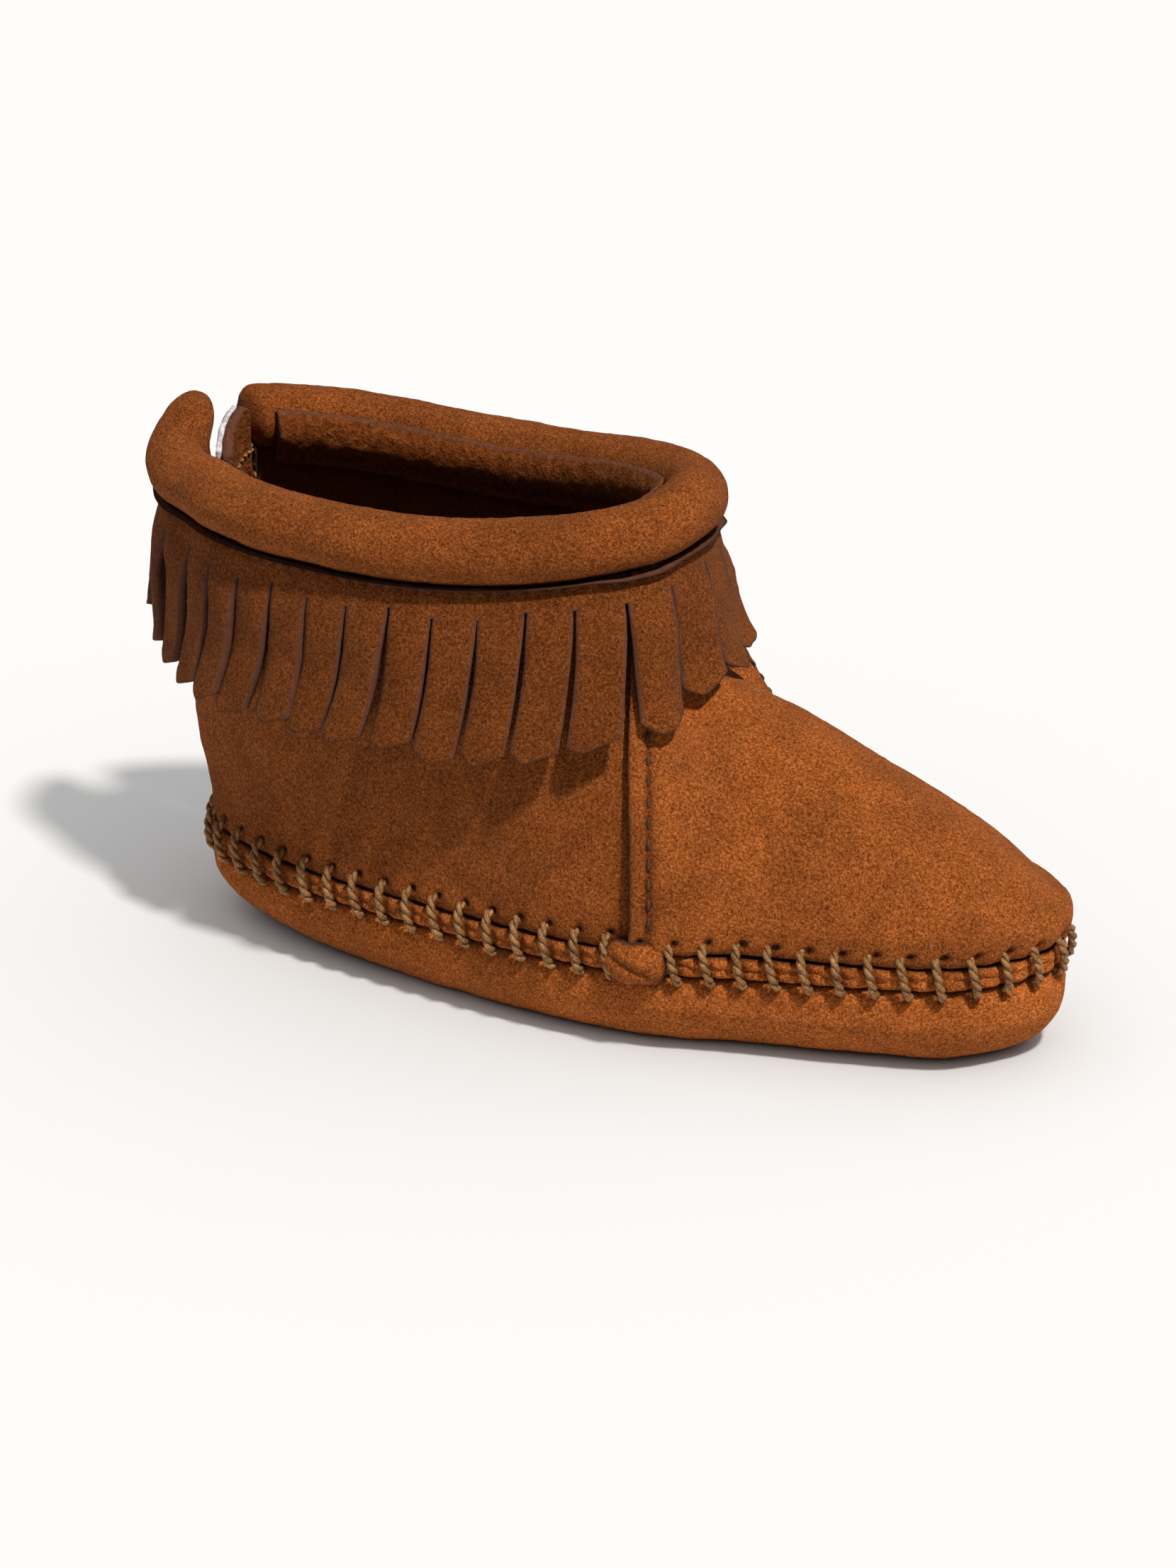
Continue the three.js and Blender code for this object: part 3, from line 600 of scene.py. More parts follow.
def suede(name, shade, size=0.32, relief=0.5):
    """Napped leather: short clumped fibres, brushed patches, darker cut edges and painted shade in
    grooves.

    shade scales this piece's leather against the vamp's, as painted shade on the walls, collar
    and fringe and painted light on the sole; size is that of its clumps, and relief is how far
    they stand up."""
    pit, body, tip = (tuple(shade * c for c in colour) for colour in (NAP_PIT, NAP_BODY, NAP_TIP))
    g = Graph(name)
    clump = g.noise(size, detail=3.0, roughness=0.62, distortion=0.7)
    fibre = g.noise(size * 0.36, detail=2.0, roughness=0.7)
    nap = g.math("ADD", g.math("MULTIPLY", clump, 0.65), g.math("MULTIPLY", fibre, 0.35))
    colour = g.ramp(nap, [(0.37, pit), (0.49, body), (0.60, tip)])
    brushed = g.spread(g.noise(7.0, detail=3.0, distortion=0.5), 0.32, 0.68, 0.84, 1.13)
    patches = g.spread(g.noise(26.0, detail=2.0), 0.32, 0.68, 0.88, 1.10)
    tone = g.math("MULTIPLY", brushed, patches)
    colour = g.blend(1.0, colour, g.add("ShaderNodeCombineColor", {
        "Red": tone, "Green": tone, "Blue": tone}).outputs[0], "MULTIPLY")
    flesh = tuple(FLESH_SHADE * c for c in body)
    colour = g.blend(g.math("MULTIPLY", g.attribute("back"), 0.55), colour, flesh)
    frayed = g.spread(g.noise(1.1, detail=2.0), 0.35, 0.6, 0.45, 0.95)
    colour = g.blend(g.math("MULTIPLY", g.attribute("cut"), frayed, True), colour, CUT_EDGE)
    # Painted shade in grooves, creases, holes and undersides.
    colour = g.blend(g.math("MULTIPLY", g.attribute("dark"), 0.93, True), colour, PAINTED_SHADE_COLOUR)
    height = g.math("ADD", nap, g.math("MULTIPLY", g.noise(2.4, detail=2.0), 0.35))
    return g.surface(
        Base_Color=colour,
        Roughness=g.spread(nap, 0.3, 0.7, 1.0, 0.86),
        Normal=g.bump(height, relief),
        Specular_IOR_Level=0.06,
        Sheen_Weight=0.05,
        Sheen_Roughness=0.55,
        Sheen_Tint=(1.0, 0.60, 0.36, 1.0),
    )


def cord_material(name, low, high, metallic, roughness):
    """Twisted thread: fine filaments with a broken shine."""
    g = Graph(name)
    filament = g.noise(0.22, detail=3.0, roughness=0.7, distortion=1.0)
    patch = g.noise(1.6, detail=2.0)
    share = g.math("ADD", g.math("MULTIPLY", filament, 0.7), g.math("MULTIPLY", patch, 0.3))
    return g.surface(
        Base_Color=g.ramp(share, [(0.38, low), (0.62, high)]),
        Metallic=metallic,
        Roughness=g.spread(filament, 0.3, 0.7, roughness + 0.15, roughness - 0.1),
        Normal=g.bump(filament, 0.12),
        Specular_IOR_Level=0.3,
    )


def foam_material():
    """Cream foam with open cells."""
    g = Graph("foam")
    cells = g.add("ShaderNodeTexVoronoi", {"Vector": g.place, "Scale": 1400.0}).outputs[0]
    return g.surface(
        Base_Color=g.ramp(cells, [(0.0, (0.30, 0.22, 0.12)), (0.6, (0.62, 0.50, 0.32))]),
        Roughness=0.95,
        Normal=g.bump(cells, 0.3),
        Specular_IOR_Level=0.1,
    )


def tape_material(name, size):
    """White nylon tape with a rough pile of the given size."""
    g = Graph(name)
    pile = g.noise(size, detail=3.0, roughness=0.75, distortion=1.2)
    return g.surface(
        Base_Color=g.ramp(pile, [(0.35, (0.42, 0.38, 0.42)), (0.6, (0.86, 0.83, 0.87))]),
        Roughness=g.spread(pile, 0.3, 0.7, 0.8, 0.5),
        Normal=g.bump(pile, 0.35),
        Specular_IOR_Level=0.4,
        Sheen_Weight=0.1,
    )


def floor_material():
    g = Graph("floor")
    return g.surface(Base_Color=(0.5, 0.5, 0.5, 1.0), Roughness=0.9,
                     Specular_IOR_Level=0.0)


# ---- how the pieces hang on the moving bodies
def settle(made, body, slot, *nodes):
    """Rides a body and stands for the CAD nodes; its slot is not used."""
    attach(made, body)
    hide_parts(*nodes)


def fold_overlap(piece):
    """Bakes the piece's transform into its mesh. The overlap would peel open from its upper
    corner, but the hinge found there is not used.
    """
    hinge = Vector(collar_point(HINGE_ANGLE + 2) * MM)
    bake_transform(piece)


def fold_flap(piece):
    """Bakes the piece's transform into its mesh. The inner flap would swing about its seam, but
    the hinge found there is not used.
    """
    hinge = Vector(collar_point(FLAP_SEAM_ANGLE + 2) * MM)
    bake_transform(piece)


OPENING_ANGLE = -14.75       # middle of the back opening, at the collar


def split_far_side(ring):
    """Cuts a ring from the back opening straight through to the toe end.

    The ring keeps its near side. Its far side is returned as a piece of its own."""
    opening = collar_point(OPENING_ANGLE)
    toe_end = collar_point(180)
    to_near = np.array([toe_end[1] - opening[1], opening[0] - toe_end[0], 0.0])
    far = ring.copy()
    far.data = ring.data.copy()
    far.name = ring.name + "_far"
    ring.users_collection[0].objects.link(far)
    for half, side in ((ring, 1.0), (far, -1.0)):
        cut = bmesh.new()
        cut.from_mesh(half.data)
        away = [face for face in cut.faces
                if side * np.dot(np.array(face.calc_center_median()) / MM - opening, to_near) < 0]
        bmesh.ops.delete(cut, geom=away, context="FACES")
        cut.to_mesh(half.data)
        cut.free()
    return far


def hang_ring(ring, node, slot):
    """A ring round the collar: its far side is cut off to ride the boot, its near side keeps its
    place.
    """
    far = split_far_side(ring)
    settle(far, "boot", slot, node)
    fold_overlap(ring)
    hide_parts(node, node + "_end")


# ---- the upper
WALL_LENGTH = 45.0           # millimetres of leather from the seam to the collar


def hem(s, t):
    """Swell and shade of the leather just above the sole seam, pulled in at each stitch."""
    height = t * WALL_LENGTH
    along = from_stitch(s)
    hole = np.clip(1.5 * bell(along, 0.42) * bell(height - 1.95, 0.45), 0, 1)
    crease = bell(height, 0.35)
    between = 1 - bell(along, 1.1)
    swell = 0.45 * between * bell(height - 1.5, 1.5) - 0.3 * crease - 0.5 * hole
    return swell, np.clip(hole + 0.6 * crease, 0, 1)


def wall_rows(low, high):
    """Heights of the wall's mesh rows, closer together at the hem."""
    fine = np.arange(low, min(low + 0.11, high), 0.0078)
    count = max(2, int((high - fine[-1]) / 0.0098))
    return np.concatenate([fine, np.linspace(fine[-1], high, count + 1)[1:]])


def station_length(s, t):
    """Millimetres of leather to one station at a height."""
    return np.linalg.norm(wall_point(s + 0.05, t) - wall_point(s - 0.05, t), axis=-1) * 10


VAMP_STITCH_OFFSET = 2.5     # from the vamp's cut edge to its row of stitches


def vamp_groove(s, t):
    """Swell and shade along the row of stitches by each end of the vamp."""
    k, side = fold(s)
    edge = np.where(side < 0, SIDE_SEAM, 20 - SIDE_SEAM)
    along = (k - SIDE_SEAM) * station_length(edge, t)
    groove = bell(along - VAMP_STITCH_OFFSET, 0.55)
    return 0.25 * bell(along - 1.2, 0.9) - 0.4 * groove, 0.55 * groove


def make_vamp(material):
    """Toe and instep in one piece, its ends lapped over the quarters."""
    def place(s, t, face):
        k, _ = fold(s)
        swell = hem(s, t)[0] + vamp_groove(s, t)[0]
        return upper(s, t, face * SUEDE - vamp_proud(k) - swell * (1 - 0.6 * face))

    def shade(s, t):
        # Painted shade: the lower part of the vamp is a little darker.
        painted_lower_shade = 0.13 * smooth((0.5 - t) / 0.4)     # the lower part is a little darker
        return np.clip(hem(s, t)[1] + vamp_groove(s, t)[1] + painted_lower_shade, 0, 1)

    columns = even(seam_point, SIDE_SEAM, 20 - SIDE_SEAM, 0.46)
    made = shell("vamp_suede", columns, wall_rows(0, 1), place, material, shade)
    settle(made, "boot", "suede", "vamp")


def quarter_place(s, t, face):
    k, side = fold(s)
    on_overlap = (side < 0) | (k < 0.6)
    angle = signed(angle_of(s))
    lift = np.where(on_overlap, overlap_lift(angle, t), 0)
    swell = hem(s, t)[0] * (1 - 0.6 * face)
    p = upper(s, t, face * SUEDE + quarter_dip(k) - lift - swell)
    p[..., 2] += np.where(on_overlap, tip_rise(angle) * smooth((t - 0.8) / 0.2), 0)
    return p


def quarter_shade(s, t):
    k, _ = fold(s)
    # Painted shade where the quarter runs under the vamp's raised edge.
    beside_vamp = 0.6 * smooth((k - SIDE_SEAM + 0.08) / 0.08)
    return np.clip(hem(s, t)[1] + beside_vamp, 0, 1)


def make_quarters(material):
    """Right quarter with the overlap at its rear end, and left quarter."""
    tip = float(heel_station(TIP_ANGLE))
    columns = even(seam_point, tip, UNDERLAP_END, 0.46)
    near = shell("quarter_suede_right", columns, wall_rows(0, 1), quarter_place, material,
                 quarter_shade)
    fold_overlap(near)
    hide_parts("quarter_right", "quarter_right_end")
    end = float(station_of(FLAP_SEAM_ANGLE)) - 0.02
    columns = even(seam_point, 20 - UNDERLAP_END, end, 0.46)
    far = shell("quarter_suede_left", columns, wall_rows(0, 1), quarter_place, material,
                quarter_shade)
    settle(far, "boot", "suede", "quarter_left")


def make_back_panel(material):
    """Heel panel and inner flap: one leather that passes inside the overlap."""
    def place(angle, t, face):
        depth = flap_depth(angle, t) + face * SUEDE
        return upper(heel_station(angle), flap_height(angle, t), depth)

    columns = np.linspace(FLAP_SEAM_ANGLE + 0.5, FLAP_END_ANGLE, 48)
    made = shell("back_panel_suede", columns, wall_rows(0, FLAP_TOP), place, material)
    fold_flap(made)
    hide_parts("heel_panel", "back_flap")


# ---- the collar
def roll_radius(angle):
    """The padding thins out along the overlap."""
    a, on_overlap = overlap_angle(angle)
    return mix(ROLL_RADIUS, ROLL_TIP_RADIUS, np.where(on_overlap, smooth((25 - a) / 30), 0))


def roll_centre(angle):
    """Middle of the roll, which rests on the stitch line and is drawn up to its free tip."""
    point, out = collar_frame(angle)
    rise = roll_radius(angle) + ROLL_GAP + tip_rise(angle)
    return point - out * ROLL_INSET + UP * rise[..., None]


DEGREE_LENGTH = 0.356        # millimetres of roll to one degree at the heel
TIP_DOME = 4.2               # length over which the roll rounds off to its free tip
FAR_DOME = 1.9               # and to its sewn end at the back opening
ROLL_END_ANGLE = FAR_END_ANGLE + 5.0    # the skin is drawn over past the padding's end


def roll_size(angle):
    """The padding's size: a little uneven, rounding off to both ends."""
    size = 1 + 0.02 * noise(collar_point(angle), 13.0, 5)
    for distance, dome in ((angle - TIP_ANGLE, TIP_DOME), (ROLL_END_ANGLE - angle, FAR_DOME)):
        inside = np.clip(distance * DEGREE_LENGTH / dome, 0, 1)
        size = size * np.sqrt(np.clip(1 - (1 - inside) ** 2, 0.0004, 1))
    return size


def make_roll(suede_roll, foam):
    """Leather rolled round a soft core; its skin closes in a dome at each end."""
    def place(angle, turn, face):
        radius = (roll_radius(angle) - 0.1) * roll_size(angle)
        radius = radius - face * np.minimum(ROLL_SKIN, 0.8 * radius)
        out = collar_normal(angle)
        across = (radius * np.cos(turn))[..., None] * out
        return roll_centre(angle) + across + (radius * np.sin(turn))[..., None] * UP

    def shade(angle, turn):
        # Painted shade along the underside of the roll.
        return 0.12 * bell(np.mod(turn, 2 * np.pi) - 1.60 * np.pi, 0.22)

    ease = 1 - np.cos(np.linspace(0, np.pi / 2, 13))
    tip = TIP_ANGLE + TIP_DOME / DEGREE_LENGTH * ease
    far = ROLL_END_ANGLE - FAR_DOME / DEGREE_LENGTH * ease[::-1]
    angles = np.concatenate([tip[:-1], even(collar_point, tip[-1], far[0], 0.5), far[1:]])
    turns = np.linspace(0, 2 * np.pi, 56, endpoint=False)
    layers = [(9.0, 0.16, 6), (3.5, 0.08, 7), (0.9, 0.07, 8)]
    roll = shell("collar_roll_suede", angles, turns, place, suede_roll, shade,
                 pipe=True, layers=layers)
    hang_ring(roll, "collar_roll", "suede")

    core_angles = np.linspace(TIP_ANGLE + 12, FAR_END_ANGLE - 5, 160)
    path = roll_centre(core_angles)
    core = Bundle().tube(path, roll_radius(core_angles) - ROLL_SKIN - GAP, sides=24)
    core = ruffle(core.make("collar_foam_core", foam), [(1.2, 0.12, 9)])
    hang_ring(core, "collar_filler", "foam")


FACING_BOTTOM = -5.6         # the facing's edges, above and below the roll's middle
FACING_TOP = 2.2
FACING_THICKNESS = 1.5
FACING_HANG = 3.0            # its lower part hangs this far inside the roll's middle


def make_facing(material):
    """The collar leather's raw hem: a soft band hugging the inside of the roll."""
    def place(angle, v, face):
        wave = 0.35 * noise(collar_point(angle), 4.0, 11) * (1 - v)
        height = mix(FACING_BOTTOM, FACING_TOP, v) + wave
        plump = FACING_THICKNESS * np.sin(np.pi * np.clip(v, 0.10, 0.98)) ** 0.5
        reach = roll_radius(angle) + GAP + face * plump
        hang = FACING_HANG + face * plump
        inset = np.sqrt(np.maximum(reach ** 2 - height ** 2, hang ** 2))
        out = collar_normal(angle)
        return roll_centre(angle) - out * inset[..., None] + UP * height[..., None]

    angles = even(collar_point, FLAP_END_ANGLE + 10, FACING_END_ANGLE, 0.5)
    layers = [(2.5, 0.14, 12), (0.8, 0.14, 13)]
    # The band's outer face looks outwards, away from the opening, so its rows run down.
    made = shell("facing_suede", angles, np.linspace(0, 1, 17), place, material, layers=layers)
    hang_ring(made, "collar_facing", "dark_suede")


COLLAR_STITCH_PITCH = 2.4


def make_collar_stitches(material):
    """Dark thread in short stitches along the foot of the roll."""
    bundle = Bundle()
    angles = even(collar_point, TIP_ANGLE + 1, FAR_END_ANGLE - 1, COLLAR_STITCH_PITCH)
    for angle in (angles[:-1] + angles[1:]) / 2:
        reach = 0.75 / np.linalg.norm(collar_point(angle + 0.5) - collar_point(angle - 0.5))
        steps = angle + np.linspace(-reach, reach, 7)
        point, out = collar_frame(steps)
        bow = np.array([-0.5, -0.05, 0.06, 0.1, 0.06, -0.05, -0.5])
        away = GAP + FRINGE_SKIN - 0.3 + seam_step(steps) + bow
        path = point + out * away[:, None] + UP * tip_rise(steps)[:, None]
        bundle.tube(path, [0.10, 0.18, 0.22, 0.22, 0.22, 0.18, 0.10], lobes=3, twist=2.0)
    made = bundle.make("collar_stitches", material)
    hang_ring(made, "collar_stitch", "dark_thread")


# ---- the fringe
def wall_reach(angle, z):
    """How far the wall stands outside the collar line at a height, straight out.

    Each round halves down to the height z on the wall, then steps along the wall until it
    stands straight out from the collar's point."""
    base = collar_point(angle)
    out = collar_normal(angle)
    along = points(-out[..., 1], out[..., 0], 0)
    s = heel_station(np.where(np.mod(angle, 360) > 180, np.mod(angle, 360) - 360, angle))
    for _ in range(6):
        low, high = np.zeros(s.shape), np.ones(s.shape)
        for _ in range(16):
            middle = (low + high) / 2
            below = wall_point(s, middle)[..., 2] < z
            low, high = np.where(below, middle, low), np.where(below, high, middle)
        p = wall_point(s, low)
        slope = dot(wall_point(s + 0.05, low) - wall_point(s - 0.05, low), along) / 0.1
        s = s - np.clip(dot(p - base, along) / slope, -0.6, 0.6)
    return dot(p - base, out)


FRINGE_TOP = 0.5             # the fringe's leather runs this far up against the roll


FRONT_HALF_ANGLE = 62        # the strips hang straighter within this of the toe end


def fringe_inner_face(angle, down):
    """Inner face of the fringe at a distance down from the stitch line, and its outward way."""
    point, out = collar_frame(angle)
    front = smooth((FRONT_HALF_ANGLE - np.abs(np.mod(angle, 360) - 180)) / 45)
    tip = down / FRINGE_LENGTH
    spread = mix(0.6 * tip + 2.2 * tip * tip, 0.4 * tip + 0.6 * tip * tip, front)
    flare = spread * mix(1, 0.3, smooth((46 - angle) / 26))
    drop = down * mix(1.0, 0.8, front)
    base = collar_point(angle)
    reach = (wall_reach(angle, base[..., 2] - drop) + mix(1.2, 0.7, front) * smooth(down / 6)
             + seam_step(angle))
    top_lip = 1.2 * np.clip(-down / FRINGE_TOP, 0, 1) ** 1.3
    sewn_down = 0.35 * bell(down, 0.7)
    away = GAP + np.maximum(flare, reach) + top_lip - sewn_down
    drop = drop - tip_rise(angle) * (1 - smooth(down / 8))
    return point + out * away[..., None] - UP * drop[..., None], out


STRIP_CELLS = 10             # mesh cells across a strip
STRIP_ROWS = 58
STRIP_STIFFNESS = 0.5        # 1 keeps a strip flat across, 0 lets it follow the collar
STRIP_GAP = 0.3


def draw_strips(count):
    """How the strips differ: each in millimetres, or millimetres to one across it."""
    draw = np.random.default_rng(7)
    ranges = {
        "sway": (1.9, 3.6), "twist": (0.09, 0.26), "lift": (0.0, 1.1), "longer": (-0.6, 0.5),
        "point_at": (-1.5, -0.3), "left_cut": (0.6, 1.0), "right_cut": (0.35, 0.6),
        "slit": (-0.4, 0.8),
    }
    return {name: draw.uniform(low, high, count) for name, (low, high) in ranges.items()}


def strip_ends(strips, n, x):
    """How far down each column of each strip reaches: a blunt point with a rough edge."""
    from_point = np.sqrt((x - strips["point_at"][n]) ** 2 + 0.09) - 0.3
    slope = np.where(x < strips["point_at"][n], strips["left_cut"][n], strips["right_cut"][n])
    rough = 0.12 * noise(points(np.arange(len(x)) * 0.7, n * 9.0, 0), 1.3, 15)
    return FRINGE_LENGTH + strips["longer"][n] - from_point * slope + rough


def strip_faces(strips, n, x, width, middle, angle, down):
    """Inner and outer points of the fringe, each strip swinging and twisting in its own way."""
    on_cone, out_here = fringe_inner_face(np.repeat(angle[:, None], STRIP_ROWS, axis=1), down)
    centre_line, out = fringe_inner_face(
        np.repeat(middle[n][:, None], STRIP_ROWS, axis=1), down)
    along = unit(points(-out[..., 1], out[..., 0], 0))
    straight = centre_line + along * x[:, None, None]
    free = smooth((down - FRINGE_BAND) / 7.0)
    flat = STRIP_STIFFNESS * free
    face = mix(on_cone, straight, flat[..., None])
    outward = unit(mix(out_here, out, flat[..., None]))

    toward_heel = np.where(np.mod(middle[n], 360) < 180, -1.0, 1.0)
    front = smooth((45 - np.abs(middle[n] - 180)) / 30)
    curve = np.maximum(down / FRINGE_LENGTH, 0) ** 2.2
    swing = (strips["sway"][n] * toward_heel * (1 - 0.9 * front))[:, None] * curve
    proud = ((strips["twist"][n] * (x + width / 2))[:, None] * free
             + strips["lift"][n][:, None] * curve)
    edge = (np.abs(x) / width * 2)[:, None]
    proud = proud + 0.25 * (1 - edge ** 4) * free
    inner = face + along * swing[..., None] + outward * np.maximum(proud, 0)[..., None]
    return inner, inner + outward * FRINGE_SKIN


def make_fringe(material):
    """One leather strip round the collar, cut into hanging tails below its band."""
    fine = np.linspace(TIP_ANGLE, FAR_END_ANGLE, 3000)
    lengths = arc_lengths(collar_point(fine))
    count = round(lengths[-1] / FRINGE_PITCH)
    pitch = lengths[-1] / count
    width = pitch - STRIP_GAP
    strips = draw_strips(count)

    # Each column of the mesh belongs to strip n and stands at x across it.
    n = np.repeat(np.arange(count), STRIP_CELLS + 1)
    x = np.tile(np.linspace(-width / 2, width / 2, STRIP_CELLS + 1), count)
    middle = np.interp((np.arange(count) + 0.5) * pitch, lengths, fine)
    angle = np.interp((n + 0.5) * pitch + x, lengths, fine)
    row_down = np.linspace(-FRINGE_TOP, FRINGE_LENGTH, STRIP_ROWS)
    near_tip = smooth((row_down / FRINGE_LENGTH - 0.55) / 0.45)
    stretch = (strip_ends(strips, n, x) / FRINGE_LENGTH)[:, None]
    down = row_down * mix(1.0, stretch, near_tip)
    inner, outer = strip_faces(strips, n, x, width, middle, angle, down)

    cells = np.ones((len(x) - 1, STRIP_ROWS - 1), bool)
    for strip in range(count - 1):
        gap_cell = (strip + 1) * (STRIP_CELLS + 1) - 1
        cells[gap_cell] = row_down[1:] < FRINGE_BAND + strips["slit"][strip]

    # Painted shade in the stitch holes and along the stitch line under the roll.
    phase = np.interp(angle, fine, lengths) / COLLAR_STITCH_PITCH
    from_hole = np.abs(phase - np.round(phase))[:, None] * COLLAR_STITCH_PITCH
    holes = 0.95 * bell(from_hole, 0.5) * bell(down - 0.1, 0.45)
    dark = np.clip(0.1 * bell(down, 0.35) + holes, 0, 1)

    # Columns run the same way as the stations and rows run downwards, so the rows are
    # turned over to keep the outside outside.
    made = shell("fringe_suede", np.arange(len(x)), np.arange(STRIP_ROWS),
                 lambda u, v, face: (inner if face else outer)[:, ::-1], material,
                 lambda u, v: dark[:, ::-1], has=cells[:, ::-1],
                 layers=[(6.0, 0.10, 16), (0.9, 0.06, 17)])
    hang_ring(made, "fringe", "suede")


# ---- the sole and its seam
SOLE_RIM = 11.5


def sole_spring(x):
    """The unworn sole curls up a little at the toe and at the heel."""
    return 0.6 * smooth((x - 8) / 48) + 1.6 * smooth((-x - 20) / 36)


def ringed(name, rings, bottom, top, material, layers, values=None):
    """A closed body from rings of points, with a point to close each end."""
    rings = np.array(rings)
    count, n, _ = rings.shape
    rings[..., 2] += sole_spring(rings[..., 0]) * np.clip(1 - rings[..., 2] / SOLE_RIM, 0, 1)
    vertices = np.concatenate([[bottom], rings.reshape(-1, 3), [top]])
    faces = []
    last = len(vertices) - 1
    for i in range(n):
        j = (i + 1) % n
        faces.append([0, 1 + j, 1 + i])
        faces.append([1 + (count - 1) * n + i, 1 + (count - 1) * n + j, last])
        for r in range(count - 1):
            low, high = 1 + r * n, 1 + (r + 1) * n
            faces.append([low + i, low + j, high + j, high + i])
    made = make_object(name, vertices, faces, material, values)
    return ruffle(made, layers)


def ring_at(s, offset, height):
    p = seam_point(s) + seam_normal(s) * np.asarray(offset)[..., None]
    p[..., 2] = height
    return p


# Section of the sole's side, from the edge of its flat: offsets from the seam, and heights.
# A last stretch climbs on to the rim.
SOLE_OFFSETS = [-6.5, -3.8, -1.5, 0.5, 0.2]
SOLE_HEIGHTS = [0.0, 0.5, 2.6, 6.5]


def make_sole(material):
    """Leather turned up round the foot, puffed out between the stitches at its rim."""
    s = even(seam_point, 0, 20, 0.5)[:-1]
    rim = seam_height(seam_point(s)[:, 0]) - WELT_HEIGHT - 2 * GAP
    between = 1 - bell(from_stitch(s), 1.0)
    hole = bell(from_stitch(s), 0.5)
    flat_edge = ring_at(s, SOLE_OFFSETS[0], 0.0)
    rings = [flat_edge * share for share in np.linspace(0.08, 0.92, 14)]
    dark = [np.zeros(len(s)) for _ in rings]
    for v in np.linspace(0, 4, 34):
        low = through(SOLE_HEIGHTS, min(v, 3.0))
        height = np.where(v <= 3, low, mix(SOLE_HEIGHTS[-1], rim, v - 3))
        top = max(0.0, v - 3)
        swell = between * 0.5 * bell(top - 0.72, 0.3) - 0.9 * top ** 6 if top > 0 else 0
        pit = -0.5 * hole * bell(top - 0.83, 0.12)
        rings.append(ring_at(s, through(SOLE_OFFSETS, v) + swell + pit, height))
        # Painted shade in the stitch pits and along the crevice under the welt.
        dark.append(np.clip(hole * bell(top - 0.83, 0.10) + 0.8 * (top > 0.96), 0, 1))
    inside = ((-1.7, rim - 0.2), (0.7 - SOLE_SKIN, 6.5), (-2.4, 3.6), (-4.2, 2.1),
              (-6.2, SOLE_SKIN))
    for offset, height in inside:
        rings.append(ring_at(s, offset, height))
        # Painted shade on the sole's inside, under the upper.
        dark.append(np.full(len(s), 0.5))
    dark = np.concatenate([[0], np.concatenate(dark), [0]])
    values = {"dark": dark, "cut": dark * 0, "back": dark * 0}
    made = ringed("sole_suede", rings, (0, 0, 0), (0, 0, SOLE_SKIN), material,
                  [(14.0, 0.15, 21), (4.0, 0.10, 22), (0.9, 0.07, 23)], values)
    level_ground(made)
    settle(made, "boot", "suede", "sole_bottom")


def level_ground(made):
    """Keeps the sole's grain from reaching below the ground."""
    for vertex in made.data.vertices:
        vertex.co.z = max(vertex.co.z, 0.0)


def make_linings(pad_material, liner_material):
    """The foam insole pad, and the sock liner that covers it."""
    s = even(seam_point, 0, 20, 1.2)[:-1]
    low, high = SOLE_SKIN + GAP, 4.0
    section = ((-7.4, low), (-5.4, low + 0.4), (-4.7, 3.0), (-5.2, 3.7), (-6.6, high))
    rings = [ring_at(s, offset, height) for offset, height in section]
    pad = ringed("insole_foam_pad", rings, (0, 0, low), (0, 0, high), pad_material,
                 [(6.0, 0.08, 25)])
    settle(pad, "boot", "foam", "insole_pad")

    low, high = 4.35, 5.1
    section = ((-4.0, low), (-3.3, 4.45), (-3.2, 4.8), (-3.5, 5.05), (-5.0, high))
    rings = [ring_at(s, offset, height) for offset, height in section]
    rings += [rings[-1] * [share, share, 1] for share in (0.8, 0.6, 0.4, 0.2)]
    liner = ringed("sock_liner_suede", rings, (0, 0, low), (0, 0, high), liner_material,
                   [(0.9, 0.05, 26)])
    settle(liner, "boot", "dark_suede", "sock_liner")


def make_welt(material):
    """The edges of the seam, puffed out between stitches and split by a crease."""
    def place(s, turn, face):
        phase = stitch_phase(s)
        split = 0.5 + 0.22 * noise(points(np.round(phase) * 3.0, 0, 0), 1.7, 31)
        v = 0.5 - 0.5 * np.cos(turn / 2)
        between = 1 - 0.75 * bell(from_stitch(s), 0.9)
        dome = np.clip(1 - np.abs(2 * v - 1) ** 3.5, 0, 1) ** 0.5
        outside = -0.35 + (1.15 * between + 0.15) * dome - 0.45 * bell(v - split, 0.09) * between
        outside = outside + 0.18 * noise(seam_point(s), 2.2, 32) * dome
        radial = np.where(face == 0, outside, -1.0)
        p = seam_point(s) + seam_normal(s) * radial[..., None]
        p[..., 2] += -GAP * 0.6 - (1 - v) * (WELT_HEIGHT + 0.25)
        return p

    def shade(s, turn):
        v = 0.5 - 0.5 * np.cos(turn / 2)
        # Painted shade in the crevices along both edges of the welt, and where each stitch pinches
        # it.
        rim = 0.8 * (bell(v, 0.06) + bell(1 - v, 0.06))
        pinch = 0.45 * bell(from_stitch(s), 0.7)
        return np.clip(rim + pinch, 0, 1)

    s = even(seam_point, 0, 20, 0.42)[:-1]
    made = shell("welt_suede", s, np.linspace(0, 2 * np.pi, 15), place, material, shade,
                 ring=True, layers=[(0.8, 0.07, 33)])
    settle(made, "boot", "suede", "welt_strip")


PLY_RADIUS = 0.34            # of each of the cord's two plies
PLY_OFFSET = 0.29            # from the cord's middle to a ply's
PLY_TURN = 2.3               # radians that the plies wind in a millimetre
TAB_ROOM = 0.16              # stations left free of stitches at each seam tab


